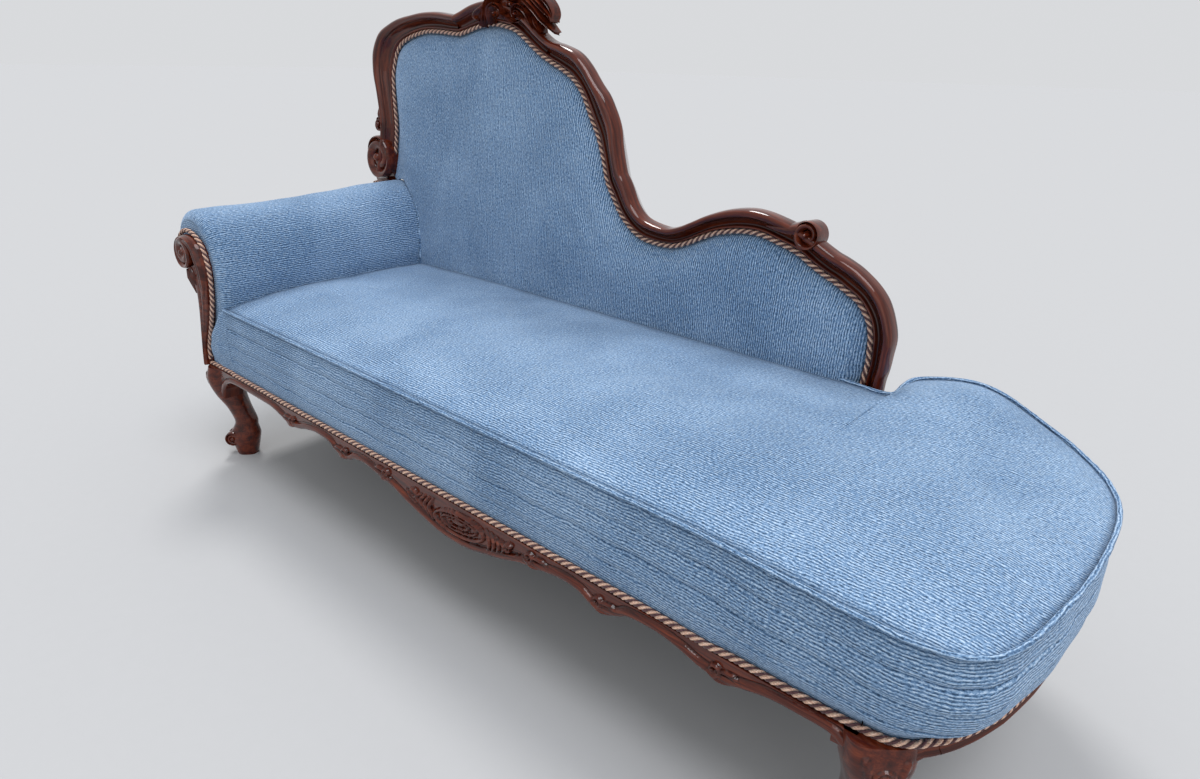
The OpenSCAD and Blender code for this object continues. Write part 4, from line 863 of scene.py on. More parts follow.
# Carving. Its pieces lie on an upright plane, in x and z, and stand forward from it by their height.
def volute(shape, place, centre, radius, turns, hand, start, proud, back, eye=0.2, facing=-1):
    """A carved scroll on a polar grid. Its face is a rounded band between the arms of a spiral: at an
    angle a past the start the arms lie at radius (1 - pitch * (a / turn + n)), and the band's height
    falls to a groove at each. The face dishes towards its button, and the wall runs back from the rim.
    facing is the sign of y at its front."""
    dish = 0.35
    a = TURN * np.arange(120) / 120
    r = np.concatenate([np.linspace(1, eye, 46), np.linspace(eye, 0.02, 8)[1:]])[:, None]
    pitch = (1 - eye) / turns
    m = (1 - r) / pitch - ((hand * (a - start)) % TURN)[None] / TURN
    lift = np.sqrt(np.clip(1 - (2 * (m - np.floor(m)) - 1) ** 2, 0, 1)) ** 0.8
    rim = np.sqrt(np.clip((1 - r) / 0.07, 0, 1))
    height = proud * ((1 - dish) + dish * r) * (0.3 + 0.7 * lift) * (0.45 + 0.55 * rim)
    button = proud * (0.72 + 0.4 * np.sqrt(np.clip(1 - (r / eye) ** 2, 0, 1)))
    height = np.where(r > eye, height, button)
    # painted shade in the grooves between the spiral's arms
    hollow = np.where(r > eye, 0.85 * np.clip(1 - lift * 1.9, 0, 1), 0)
    radii = np.vstack([np.ones((2, len(a))), r + 0 * a]) * radius
    height = np.vstack([np.full((1, len(a)), -back), np.zeros((1, len(a))), height + 0 * a])
    q = radii[..., None] * np.stack([np.cos(a), np.sin(a)], -1)
    p = np.asarray(centre, float) + upright(q, facing * height)
    uv = uv_of(np.linspace(0, 200, len(a) + 1)[None], np.linspace(0, 50, len(p))[:, None])
    shape.grid(place(p), uv, wrap=True, ends=True, hollow=np.vstack([np.zeros((2, len(a))), hollow]))


def leaf(shape, place, path, width, height, back, veins, across=15):
    """A carved leaf or stem along a path in the face's plane: its half width and height vary along
    it, its veins run lengthwise as shallow flutes, and its rear is flat, back behind the plane."""
    pts = even(curve(path, 10), 2.0)
    s = np.linspace(0, 1, len(pts))
    v = np.linspace(-1, 1, across)
    dome = np.sqrt(1 - v ** 2 * 0.985)
    flute = 1 - 0.26 * np.cos(np.pi * veins * v) ** 2 * (np.abs(v) < 0.93) * (veins > 0)
    q = pts[:, None] + left_of(way_of(pts))[:, None] * (spaced(width, s)[:, None] * v[None])[..., None]
    front = upright(q, -spaced(height, s)[:, None] * (dome * flute)[None])
    # painted shade in the veins' flutes
    hollow = np.hstack([np.broadcast_to((1 - flute) * 2.2, q.shape[:2]), np.zeros(q.shape[:2])])
    uv = uv_of(run_of(pts)[:, None], np.linspace(0, 40, 2 * across + 1)[None])
    shape.grid(place(np.hstack([front, upright(q[:, ::-1], back)])), uv, wrap=True, ends=True, hollow=hollow)


def fan(shape, place, centre, inner, outer, start, stop, flutes, height, back):
    """A fluted shell: rays from the centre, each a rounded flute that ends in a scallop."""
    t = np.linspace(0, 1, flutes * 8 + 1)
    a = start + (stop - start) * t
    flute = np.abs(np.sin(np.pi * flutes * t))
    r = np.linspace(0, 1, 16)[:, None]
    radius = inner + (outer * (0.86 + 0.14 * flute) - inner) * r
    y = height * (0.35 + 0.65 * np.sqrt(flute)) * (0.55 + 0.45 * np.sin(np.pi * r ** 0.8) ** 0.5)
    q = np.asarray(centre, float) + radius[..., None] * np.stack([np.cos(a), np.sin(a)], -1)
    # painted shade in the grooves between the flutes
    hollow = np.hstack([np.broadcast_to(0.8 * np.clip(1 - flute * 2.2, 0, 1), y.shape), np.zeros(y.shape)])
    uv = uv_of(np.linspace(0, 30, len(r))[:, None], np.linspace(0, 60, 2 * len(t) + 1)[None])
    shape.grid(place(np.hstack([upright(q, -y), upright(q[:, ::-1], back)])), uv, wrap=True, ends=True,
               hollow=hollow)


def carved(x, z, strokes):
    """Height of a relief over points of its plane. Each stroke is a curve with a width and a height: the
    relief over it is round across, and the highest stroke wins. The second result is a mask of painted shade
    for the narrow grooves beside the strokes."""
    lift, beside = np.zeros(x.shape), np.zeros(x.shape)
    for path, width, height in strokes:
        pts = even(curve(path, 12), 1.2)
        s = np.linspace(0, 1, len(pts))
        w, h = spaced(width, s), spaced(height, s)
        reach = w.max() + 4
        near = ((x > pts[:, 0].min() - reach) & (x < pts[:, 0].max() + reach)
                & (z > pts[:, 1].min() - reach) & (z < pts[:, 1].max() + reach))
        if not near.any():
            continue
        gap = np.hypot(x[near][:, None] - pts[:, 0], z[near][:, None] - pts[:, 1]) / w
        best = gap.argmin(1)
        q = gap[np.arange(len(gap)), best]
        lift[near] = np.maximum(lift[near], h[best] * np.sqrt(np.clip(1 - q ** 2, 0, 1)) ** 0.9)
        beside[near] = np.maximum(beside[near], bell(q, 1.12, 0.22) * (q > 0.9))
    return lift, np.where(lift > 1.2, 0, beside)


def curl_path(cx, cz, r0, r1, turns, start, hand):
    """A spiral from radius r0 in to r1."""
    s = np.linspace(0, 1, 26)
    a = start + hand * TURN * turns * s
    r = r0 + (r1 - r0) * s
    return np.stack([cx + r * np.cos(a), cz + r * np.sin(a)], 1)


def oval(cx, cz, rx, rz, tilt=0.0):
    """An ellipse with radii rx and rz, tilted."""
    a = TURN * np.arange(25) / 24
    x, z = rx * np.cos(a), rz * np.sin(a)
    return np.stack([cx + x * np.cos(tilt) - z * np.sin(tilt), cz + x * np.sin(tilt) + z * np.cos(tilt)], 1)


# Show wood of the backrest
def carved_scroll(name, node, volutes, stems):
    """Volutes and plain stems on the backrest's face, made one piece."""
    shape = Shape()
    for values in volutes:
        volute(shape, leaned, **values)
    for path, width, height, back in stems:
        leaf(shape, leaned, path, width, height, back=back, veins=0)
    carved_piece(shape, name, node)


def ear_scroll():
    """The large scroll at the stile's foot with its tail, and the small bud with its stem over it."""
    cx, cz = -0.068 * BACK_L - BACK_SIDE, BASE_H + 0.572 * BACK_H
    bx, bz = -0.061 * BACK_L - BACK_SIDE, BASE_H + 0.686 * BACK_H
    ear = dict(centre=(cx, 0, cz), radius=1.05 * FRAME_W, turns=1.5, hand=-1, start=3.9, proud=34, back=40)
    bud = dict(centre=(bx, 0, bz), radius=0.34 * FRAME_W, turns=1.2, hand=-1, start=3.9, proud=30, back=25,
               eye=0.35)
    stem = ([(bx + 6, bz + 62), (bx + 4, bz + 44), (bx + 2, bz + 26), (bx + 4, bz + 10)], (3, 6, 8, 10),
            (18, 24, 28, 26), 30)
    tail = ([(cx + 4, cz - 36), (cx - 14, cz - 50), (cx - 34, cz - 62)], (34, 30, 18), (20, 16, 10), 30)
    carved_scroll("ear_scroll", "left_stile", (ear, bud), (stem, tail))


def hump_scroll():
    """The scroll on the low back's hump, where the sweep ends, with the stem that runs into it."""
    line = even(np.vstack([sweep_edge, end_edge[1:]]), RING_STEP, 2)[:, :2]
    at = np.argmin(np.linalg.norm(line - end_edge[0, :2], axis=1))
    c = end_edge[0, :2] + left_of(way_of(line)[at]) * 0.68 * FRAME_W
    ring = dict(centre=(c[0], 0, c[1]), radius=0.47 * FRAME_W, turns=1.6, hand=-1, start=3.6,
                proud=1.25 * BEAD_PROUD, back=8)
    stem = ([c + (-88, 4), c + (-62, 4), c + (-38, 4), c + (-18, 8)], (4, 9, 12, 14), (16, 27, 30, 30), 10)
    carved_scroll("hump_scroll", "sweep_scroll", (ring,), (stem,))


# The crest's bands and leaves: path, half widths, heights and veins, from the arch's top
CREST_BANDS = [
    ([(-92, 4), (-87, 21), (-80, 34), (-63, 40), (-46, 34), (-39, 24), (-46, 15), (-57, 18)],
     (6, 8, 9, 9, 8, 7, 6, 5), (30, 40, 45, 46, 46, 45, 44, 46), 1),
    ([(58, -12), (51, 0), (45, 15), (32, 29), (12, 36), (0, 29), (2, 17), (13, 12), (20, 18)],
     (4, 7, 9, 10, 9, 8, 7, 6, 5), (30, 38, 43, 46, 47, 46, 45, 44, 46), 1),
    ([(-98, 42), (-108, 32), (-120, 24), (-126, 15), (-118, 10)], (5, 8, 9, 8, 4), (38, 44, 47, 46, 42), 0),
    ([(-122, -2), (-112, 20), (-99, 39), (-84, 58)], (6, 8, 8, 4), (30, 38, 42, 40), 1),
    ([(-104, 2), (-97, 20), (-84, 42), (-68, 62), (-56, 72)], (5, 8, 9, 8, 3), (28, 36, 42, 43, 38), 2),
    ([(-60, 44), (-50, 58), (-38, 70), (-28, 84)], (6, 10, 9, 3), (38, 44, 44, 38), 2),
    ([(16, 52), (37, 46), (66, 26), (82, 10), (102, -6), (118, -18)], (5, 9, 10, 9, 7, 4),
     (44, 48, 47, 43, 36, 26), 1),
    ([(40, 62), (65, 45), (87, 29), (106, 15), (112, 3)], (5, 8, 9, 7, 3), (38, 43, 43, 41, 36), 1),
    ([(56, 72), (84, 50), (102, 35), (112, 19), (108, 6)], (4, 8, 8, 7, 3), (30, 36, 37, 35, 30), 1),
    ([(20, 50), (32, 64), (34, 78), (26, 90)], (6, 10, 9, 3), (40, 44, 44, 38), 2),
    ([(37, 22), (42, 10), (49, -4)], (4, 7, 2), (40, 42, 34), 1),
    ([(60, 16), (68, 2), (78, -17)], (5, 8, 2), (40, 41, 32), 1)]
# The board behind them, its scrolls and its shells: centre, radii, arc in degrees, flutes and height
CREST_BOARD = ([(-104, 34), (-60, 44), (-10, 56), (40, 46), (92, 26)], (6, 22, 30, 24, 6),
               (20, 26, 27, 26, 20))
CREST_SCROLLS = ((-53, 22, 1), (14, 19, -1))
CREST_SHELLS = (((-17, 26), 4, 23, 228, 312, 5, 40), ((-6, 58), 5, 35, 18, 162, 9, 38))
FLOWER, PETALS = np.array([-8, 46]), 5


def crest():
    """Two bands that curl in towards a small shell, a flower over them, and leaves that run out along
    the arch to both sides, with a fan on top."""
    forward = -8
    shape = Shape()

    def place(p):
        """The carving's points, counted from the arch's top, on the backrest."""
        return leaned(np.asarray(p) + np.array([0.338 * BACK_L - BACK_SIDE, 0, BASE_H + BACK_H]))

    for path, width, height, veins in CREST_BANDS:
        leaf(shape, place, path, width, height, back=forward, veins=veins)
    leaf(shape, place, *CREST_BOARD, back=4, veins=0)
    for x, z, hand in CREST_SCROLLS:
        volute(shape, place, centre=(x, 0, z), radius=8, turns=1.0, hand=hand, start=0.6, proud=44,
               back=forward, eye=0.45)
    for centre, inner, outer, start, stop, flutes, height in CREST_SHELLS:
        fan(shape, place, centre, inner, outer, np.radians(start), np.radians(stop), flutes, height,
            back=forward)
    for a in np.radians(90 + np.arange(PETALS) * 360 / PETALS):
        petal = FLOWER + np.outer((2, 9, 14), (np.cos(a), np.sin(a)))
        leaf(shape, place, petal, (3, 6.5, 3), (46, 50, 45), back=forward, veins=1, across=9)
    carved_piece(shape, "crest", "crest_carving")


# Aprons: depth of the serpentine edge from the middle outwards and at its ends, in shares
LOBES = [[0, 1], [0.05, 0.97], [0.1, 0.85], [0.16, 0.68], [0.21, 0.5], [0.26, 0.41], [0.32, 0.3],
         [0.365, 0.34], [0.395, 0.48], [0.425, 0.5], [0.455, 0.42], [0.485, 0.27], [0.54, 0.23],
         [0.59, 0.31], [0.635, 0.44], [0.68, 0.47], [0.715, 0.37], [0.76, 0.25], [0.81, 0.22]]
DROPS = [[0, 1], [0.16, 0.62], [0.45, 0.34], [1, 0.22]]
LOBE_X, LOBE_HALF, BLOCK = 0.482 * SEAT_L, 0.48 * SEAT_L, 0.8 * KNEE_W
LEFT_LEG, RIGHT_LEG = np.array([-0.46 * ARM_W, 0.35 * KNEE_W]), np.array([0.916 * SEAT_L, 0.35 * KNEE_W])
APRON_ENDS = (LEFT_LEG[0] + BLOCK / 2 + GAP, RIGHT_LEG[0] - 0.1 * KNEE_W)
REAR_Y0 = BACK_Y - (SEAM_H - RAIL_TOP) * np.tan(LEAN) + 0.2 * FRAME_BACK
REAR_LEG_Y, REAR_RIGHT_X = REAR_Y0 + 0.8 * FRAME_BACK - BLOCK / 2, 0.862 * SEAT_L


def apron_edge():
    """The front apron's lower edge, its lobes mirrored about the middle, with a shallower right end."""
    left = [[APRON_ENDS[0] + a * 1.1 * KNEE_W, -b * LOBE_H] for a, b in DROPS]
    low = [[LOBE_X - a * LOBE_HALF, -b * LOBE_H] for a, b in LOBES[::-1]]
    high = [[LOBE_X + a * LOBE_HALF, -b * LOBE_H] for a, b in LOBES[1:]]
    right = [[APRON_ENDS[1] - a * 0.42 * KNEE_W, -min(b, 0.42) * LOBE_H] for a, b in DROPS[::-1]]
    return curve(left + low + high + right, 12)


# Curled leaves of the apron on both sides of the middle: place in half lengths, and height
APRON_LEAVES = ((0.41, -24), (0.66, -22), (0.235, -16))


def apron_strokes():
    """The front apron's carving: ovals, crescent flutes and small scrolls of the cartouche, and a
    curled leaf where each long bead ends."""
    cx = LOBE_X + 18
    strokes = [(oval(cx, -36, 66, 21, 0.10), (3.4, 3.4), (6.5, 6.5)),
               (oval(cx, -35, 47, 13, 0.10), (2.8, 2.8), (5.5, 5.5)),
               (oval(cx, -34, 27, 6.5, 0.10), (2.6, 2.6), (6, 6)),
               ([(cx - 12, -33), (cx, -32), (cx + 12, -31)], (3, 4, 3), (5, 6, 5))]
    for side in (-1, 1):
        for k in range(4):
            x = cx + side * (76 + 12 * k)
            top, low = -13 - 1.5 * k, -56 + 5.0 * k
            flute = [(x - side * 6, top), (x + side * 5, (top + low) / 2 + 3), (x - side * 3, low)]
            strokes.append((flute, (2.2, 4.4, 2.0), (4.0, 7.5, 3.5)))
        start = 2.4 if side < 0 else 0.7
        strokes += [(curl_path(cx + side * 126, -24, 9, 3, 1.25, start, side), (3.4, 2.2), (7, 5.5)),
                    ([(cx + side * 122, -40), (cx + side * 138, -34), (cx + side * 150, -24)],
                     (3.5, 3.2, 1.5), (5, 5, 3))]
        for share, z in APRON_LEAVES:
            x = LOBE_X + side * share * LOBE_HALF
            strokes += [(curl_path(x, z, 10, 2.5, 1.2, np.pi * 1.5, side), (3.8, 2.4), (7.5, 6)),
                        ([(x - side * 8, z - 8), (x + side * 8, z - 14), (x + side * 30, z - 10)],
                         (4, 5, 1.5), (6, 7, 3)),
                        ([(x + side * 10, z + 2), (x + side * 26, z + 4), (x + side * 44, z - 2)],
                         (2.5, 4, 1.2), (5, 6, 2))]
    return strokes


def front_apron():
    """Columns along the seat. On each, the face rises from the serpentine edge to the cord with a round
    bead above the edge and the relief over it, and the section closes round the rail behind."""
    edge = apron_edge()
    x = np.arange(APRON_ENDS[0], APRON_ENDS[1], 1.7)
    low = np.interp(x, edge[:, 0], edge[:, 1])
    slope = np.hypot(1, np.gradient(low, x))
    z = low[:, None] * (1 - np.linspace(0, 1, 42) ** 1.1)
    above = (z - low[:, None]) / slope[:, None]
    r = BEAD_D / 2
    bead = 5.2 * np.sqrt(np.clip(1 - ((above - r) / r) ** 2, 0, 1))
    groove = 1.4 * bell(above, BEAD_D + 2.0, 1.6)
    lift, beside = carved(np.broadcast_to(x[:, None], z.shape), z, apron_strokes())
    fade = smooth(-z, 0, 5)
    y = -LEDGE - np.maximum(bead, lift) * fade + groove * (lift < 1) * fade + 0.8 * np.exp(-above / 2)
    far = COVER_T + RAIL_T
    y = np.hstack([y, np.broadcast_to([2.0 * COVER_T, 2 * COVER_T, far, far], (len(x), 4))])
    z = np.hstack([z, np.broadcast_to([0.0, RAIL_H, RAIL_H], (len(x), 3)), low[:, None]])
    ring = np.stack([np.broadcast_to(x[:, None], z.shape), y, BASE_H + z], -1)
    # painted shade in the groove above the bead and beside the carved strokes
    hollow = np.hstack([np.clip(groove * 0.55 + 0.8 * beside, 0, 0.9) * fade, np.zeros((len(x), 4))])
    uv = uv_of(x[:, None], np.append(np.linspace(0, 80, ring.shape[1]), 90)[None])
    run_piece("front_show_apron", "front_apron", placed(ring), uv, hollow, 50)


# The end apron's depth round the end, and its face: out in bead widths, down in shares of the depth
END_DEPTHS = [1, 0.95, 0.48, 0.42, 0.35, 0.27, 0.27, 0.27, 0.27, 0.27, 0.3, 0.4, 0.6, 0.9, 1]
END_FACE = [[0, 0], [0.02, 0.25], [0.12, 0.42], [0.22, 0.55], [0.34, 0.66], [0.36, 0.8], [0.26, 0.95],
            [0.1, 1]]


def end_apron():
    """The round end's rail: a section with a cove and a small bead, carried along the seat's foot from
    leg to leg."""
    first, inner, rear = NU - 3, -4.3, -36
    keep = (rim_place >= first) & (rim_place <= NU + NV + 4)
    foot, out = rim_at([0.0])[0][keep], rim_out[keep]
    depth = np.interp(rim_place[keep] - first, np.arange(len(END_DEPTHS)), END_DEPTHS) * APRON_H
    face = curve(END_FACE, 5)
    t = np.concatenate([[inner, inner], 0.55 * LEDGE + face[:, 0] * BEAD_D, [rear, rear]])
    down = np.concatenate([[0, 0], face[:, 1], [1, 0]])
    rail = np.concatenate([[RAIL_H, 0], np.zeros(len(face)), [0, RAIL_H]])
    z = BASE_H + rail[None] - down[None] * depth[:, None]
    ring = np.dstack([foot[:, None, :2] + out[:, None] * t[None, :, None], z])
    # painted shade in the cove of the face
    hollow = np.concatenate([[0, 0], 0.5 * bell(face[:, 1], 0.5, 0.08), [0, 0]])
    uv = uv_of(run_of(foot[:, :2])[:, None], np.linspace(0, 90, len(t) + 1)[None])
    run_piece("end_show_apron", "foot_end_apron", placed(ring), uv, hollow[None] + 0 * z, 40)


# Legs: height as a share, place outwards and the two widths in knee widths, and the knee's carving
LEG = [[0, -0.13, 0.62, 0.5], [0.07, -0.13, 0.74, 0.58], [0.15, -0.13, 0.86, 0.64],
       [0.23, -0.15, 0.92, 0.62], [0.31, -0.2, 0.74, 0.56], [0.385, -0.23, 0.68, 0.56],
       [0.53, -0.09, 0.7, 0.62], [0.67, 0.07, 0.82, 0.76], [0.81, 0.11, 0.97, 0.98],
       [0.91, 0.1, 1.0, 1.06], [1, 0.04, 0.96, 1.06]]
KNEE_CARVING = [(oval(0, 204, 12, 17), (2.4, 2.4), (4, 4)),
                ([(0, 197), (0, 204), (0, 211)], (5, 7, 5), (5, 7.5, 5)),
                *(([(side * 24, 232), (side * 17, 205), (side * 8, 176), (0, 150)], (4, 4.5, 3.5, 1.5),
                   (4, 4.5, 4, 1)) for side in (-1, 1)),
                ([(0, 172), (0, 152), (0, 128)], (5, 4, 1.5), (4, 4, 1))]


def leg(name, spot, turn, block_y, block_d, carve):
    """Rounded-square rings up a cabriole leg, with the knee's carving as relief over its outer face, a
    scroll on both sides of the toe, and the block that stands inside the rails."""
    rows = even(curve(LEG, 12), 0.009, 1)
    a = TURN * (np.arange(112) / 112 - 0.5)
    h, middle = rows[:, :1], rows[:, 1:2] * KNEE_W
    sharp = 2.25 + 1.5 * smooth(h, 0.5, 0.9)
    c, s = np.cos(a)[None], np.sin(a)[None]
    pinch = (np.abs(c) ** sharp + np.abs(s) ** sharp) ** (-1 / sharp)
    z = h * BASE_H + 0 * a
    u, v = (rows[:, k:k + 1] * KNEE_W / 2 * q * pinch for k, q in ((2, c), (3, s)))
    lift, beside = carved(np.where(np.abs(a)[None] < 1.4, v, 400.0), z, KNEE_CARVING if carve else [])
    grow = 1 + lift * 0.75 / np.hypot(u, v)
    ct, st = np.cos(turn), np.sin(turn)

    def place(p):
        """The leg's points, with x outwards, turned and set on its spot."""
        x, y, z = np.moveaxis(np.asarray(p, float), -1, 0)
        return placed(np.stack([spot[0] + x * ct - y * st, spot[1] + x * st + y * ct, z], -1))

    shape = Shape()
    # painted shade beside the knee's carving
    shape.grid(place(np.stack([middle + u * grow, v * grow, z], -1)),
               uv_of(h * BASE_H, np.linspace(0, 250, len(a) + 1)[None]), wrap=True, ends=True,
               hollow=0.7 * beside)
    for side in (-1, 1):
        volute(shape, place, centre=(0.2 * KNEE_W, side * 13, 0.185 * BASE_H), radius=19, turns=1.7,
               hand=side, start=2.2, proud=11, back=6, eye=0.3, facing=side)
    half = BLOCK / 2
    corners = np.array([[spot[0] + x, block_y + y] for x, y in
                        ((-half, 0), (half, 0), (half, block_d), (-half, block_d))])
    ring = np.array([np.column_stack([corners, np.full(4, z)]) for z in (BASE_H - 0.5, RAIL_TOP)])
    shape.grid(placed(ring), wrap=True, ends=True)
    carved_piece(shape, "carved_" + name, name)


def legs():
    """The two carved front legs and the two plain rear legs, turned outwards."""
    front_y = 0.65 * FACING_T
    front_d = LEFT_LEG[1] + BLOCK / 2 - front_y
    rear_y = REAR_LEG_Y - BLOCK / 2
    for name, spot, turn, y, d, carve in (
            ("front_left_leg", LEFT_LEG, 225, front_y, front_d, True),
            ("front_right_leg", RIGHT_LEG, 310, front_y, front_d, True),
            ("rear_left_leg", (LEFT_LEG[0], REAR_LEG_Y), 130, rear_y, BLOCK, False),
            ("rear_right_leg", (REAR_RIGHT_X, REAR_LEG_Y), 50, rear_y, BLOCK, False)):
        leg(name, spot, np.radians(turn), y, d, carve)


# The arm's and the facing's outlines in arm widths and heights, x from the arm's inner face
ARM = np.array([[-0.005, 0.18], [-0.005, 0.45], [0.012, 0.6], [-0.035, 0.775], [-0.165, 0.905],
                [-0.35, 0.98], [-0.56, 1], [-0.76, 0.975], [-0.92, 0.9], [-1, 0.8], [-0.975, 0.71],
                [-0.88, 0.65], [-0.74, 0.625], [-0.63, 0.56]]) * [ARM_W, ARM_H]
FACING = np.array([[-0.625, 0], [-0.575, 0.13], [-0.545, 0.24], [-0.515, 0.33], [-0.487, 0.42],
                   [-0.48, 0.5], [-0.52, 0.575], [-0.6, 0.635], [-0.77, 0.66], [-0.79, 0.79],
                   [-0.68, 0.85], [-0.56, 0.87], [-0.43, 0.865], [-0.32, 0.842], [-0.235, 0.8],
                   [-0.188, 0.735], [-0.165, 0.665], [-0.178, 0.58], [-0.225, 0.48], [-0.29, 0.375],
                   [-0.385, 0.275], [-0.48, 0.18], [-0.54, 0.1], [-0.56, 0]]) * [ARM_W, ARM_H]
VOLUTE_AT, VOLUTE_R = np.array([-0.6 * ARM_W, 0.748 * ARM_H]), 37
ARM_ROUND, ARM_FRONT = 6.5 * COVER_T, COVER_T + GAP


def facing_near(p):
    """Nearest points of the facing's outline or of its volute to points of the arm's outline."""
    a = np.linspace(0, TURN, 200)
    ring = VOLUTE_AT + VOLUTE_R * np.stack([np.cos(a), np.sin(a)], 1)
    both = np.vstack([curve(FACING, 12), ring])
    return both[np.linalg.norm(p[:, None] - both[None], axis=-1).argmin(1)]


# Pleats that fan out over the arm's roll: place along its outline, depth and width. Then the roll's
# rise towards the back, and the rows that take the flat front's UV.
ARM_PLEATS = ((232, 3.2, 5.0), (262, 2.4, 5.0), (196, 1.8, 6.0), (150, 1.2, 8.0))
ARM_RISE, FLAT_ROWS = 17, 10


def arm_pad():
    """Round the arm's outline, rows from the facing's edge out over the flat front, round the front
    corner and back along the roll, which rises a little towards the back."""
    line = even(curve(ARM, 12), 6.0)
    inward = left_of(way_of(line))
    inset = line + inward * 0.95 * ARM_ROUND
    reach = facing_near(line) - inset
    reach = reach * (1 + 3 / np.maximum(np.linalg.norm(reach, axis=1, keepdims=True), 1))
    rows = [(inset + reach * t, ARM_FRONT) for t in np.linspace(1, 0.08, 9)]
    rows += [(line + inward * ARM_ROUND * 0.95 * (1 - np.sin(a)), ARM_FRONT + ARM_ROUND * (1 - np.cos(a)))
             for a in np.linspace(0, np.pi / 2, 9)]
    depth = BACK_Y + 12 - ARM_FRONT - ARM_ROUND
    rows += [(line, ARM_FRONT + ARM_ROUND + depth * t) for t in np.linspace(0, 1, 52)[1:]]
    p = np.array([upright(q, y) for q, y in rows])
    s, y = run_of(line)[None], p[..., 1]
    relief = (0.9 * ripple(s, y, 170, 61) + 0.5 * ripple(s, y, 70, 62)) * smooth(y, 8, 80)
    for place, deep, wide in ARM_PLEATS:
        relief = relief - deep * bell(s, place + 0.25 * (y - ARM_FRONT), wide) * bell(y, 12, 20)
    flat = np.arange(len(p))[:, None] < FLAT_ROWS
    normal = np.where(flat[..., None], np.array([0, -1.0, 0]), upright(-inward, 0)[None])
    p = p + normal * (relief * np.where(flat, 0.4, 1))[..., None]
    uv = np.where(flat[..., None], uv_of(p[..., 0], p[..., 2] + 60), uv_of(y, s))
    p[..., 2] += BASE_H + ARM_RISE * smooth(p[..., 1], 180, 560) * smooth(p[..., 2], 0.6 * ARM_H, ARM_H)
    shape = Shape()
    shape.grid(placed(p), uv, away=placed([-90, 280, 500]))
    padded_piece(shape, "arm_pad", ("inside_arm_cover", "arm_foam"), thickness=CLOTH_T)


def on_facing(p):
    """Points of the facing's own plane, its depth counted forward from the facing's front."""
    return placed(np.asarray(p, float) + np.array([0, FACING_Y, BASE_H]))


# Leaves under the facing's volute: path, half widths, heights
FACING_LEAVES = (([(-118, 240), (-109, 222), (-99, 202), (-94, 186)], (5, 10, 8, 3), (8, 12, 9, 5)),
                 ([(-94, 248), (-85, 230), (-80, 208)], (4, 8, 3), (12, 14, 8)))


def arm_facing():
    """A strip between two edges that rises to the volute, rounded across with a bead on both sides,
    the volute itself, the band that runs over it, and leaves under it."""
    line, steps, n = curve(FACING, 12), 12, 90
    left, right = (np.stack([spaced(q, np.linspace(0, 1, n)) for q in even(side, 3.0).T], 1)
                   for side in (line[:7 * steps + 1], line[:15 * steps - 1:-1]))
    t = np.linspace(0, 1, 25)[None, :, None]
    face = left[:, None] * (1 - t) + right[:, None] * t
    v = 2 * t[..., 0] - 1
    y = (1.5 + 4.5 * np.sqrt(np.clip(1 - v ** 2, 0, 1)) + 2.6 * bell(v, 0.42, 0.2) + 1.8 * bell(v, -0.5, 0.2)
         - 2.2 * bell(v, -0.04, 0.1))
    ring = np.hstack([upright(face, -y), upright(face[:, ::-1], float(FACING_T))])
    shape = Shape()
    shape.grid(on_facing(ring), uv_of(run_of(left)[:, None], np.linspace(0, 70, ring.shape[1] + 1)[None]),
               wrap=True, ends=True)
    volute(shape, on_facing, centre=(VOLUTE_AT[0], 0, VOLUTE_AT[1]), radius=VOLUTE_R, turns=1.5, hand=1,
           start=1.1, proud=15, back=FACING_T)
    band = line[9 * steps + 6:19 * steps]
    band = band - left_of(way_of(band)) * 13
    leaf(shape, on_facing, band[::6], (5, 9, 12, 14, 14, 13, 10, 5), (8, 13, 15, 15, 14, 12, 9, 5), back=20,
         veins=1)
    for path, width, height in FACING_LEAVES:
        leaf(shape, on_facing, path, width, height, back=15, veins=2)
    carved_piece(shape, "carved_facing", "arm_facing")


def arm_gimp():
    """Cord along the facing's inner edge, from the seat up over the roll."""
    line = curve(FACING, 12)[::-1][:-9 * 12]
    line = (line - left_of(way_of(line)) * (CORD_R + GAP))[6:]
    up = np.clip(line[:, 1] / BOXING_H - 0.9, 0, 1 / 6) * 6
    twisted_cord("gimp_arm", "arm_cord", placed(upright(line, -CORD_R - 2 + up * 1.5) + (0, 0, BASE_H)))


# Sheets at the back, side and below
def sheet_of(name, node, points, uv, out, finish, slot):
    """A thin stretched cloth in place of the node; the area of its points is worked out too."""
    shape = Shape()
    shape.grid(points, uv, out=out)
    obj = shape.make(name, finish, slot, crease=70)
    thicken(obj, SHEET_T, 0)
    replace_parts(obj, node)
    area_of(points)


def area_of(p):
    """Area of a grid of points: two triangles in each of its cells."""
    a, b, c, d = p[:-1, :-1], p[:-1, 1:], p[1:, 1:], p[1:, :-1]
    halves = (np.linalg.norm(np.cross(q - r, s - r), axis=-1) for q, r, s in ((b, a, d), (b, c, d)))
    return float(sum(halves).sum() / 2)


def outside_back():
    """Cloth over the backrest's rear: columns from the frame's edge to the rail, a little slack."""
    edge = back_edge[6:-6, :2]
    n = len(edge)
    top = edge - left_of(way_of(edge)) * GAP
    z0 = RAIL_TOP + FRAME_BACK * np.sin(LEAN) + GAP
    t = smooth(np.arange(n) / (n - 1), 0.0, 1.0)[:, None]
    foot = np.hstack([top[0, 0] * (1 - t) + top[-1, 0] * t, np.full((n, 1), z0)])
    r = np.linspace(0, 1, 40)[:, None, None]
    q = top[None] * (1 - r) + foot[None] * r
    x, z = q[..., 0], q[..., 1]
    slack = (1.6 * ripple(x, z, 160, 71) + 0.6 * ripple(x, z, 50, 72)) * np.sin(np.pi * r[..., 0])
    sheet_of("outside_back", "outside_back_cover", leaned(upright(q, REBATE_Y + 1.2 + slack)),
             uv_of(z, x), (0, 1, 0), blue_chenille, "chenille")


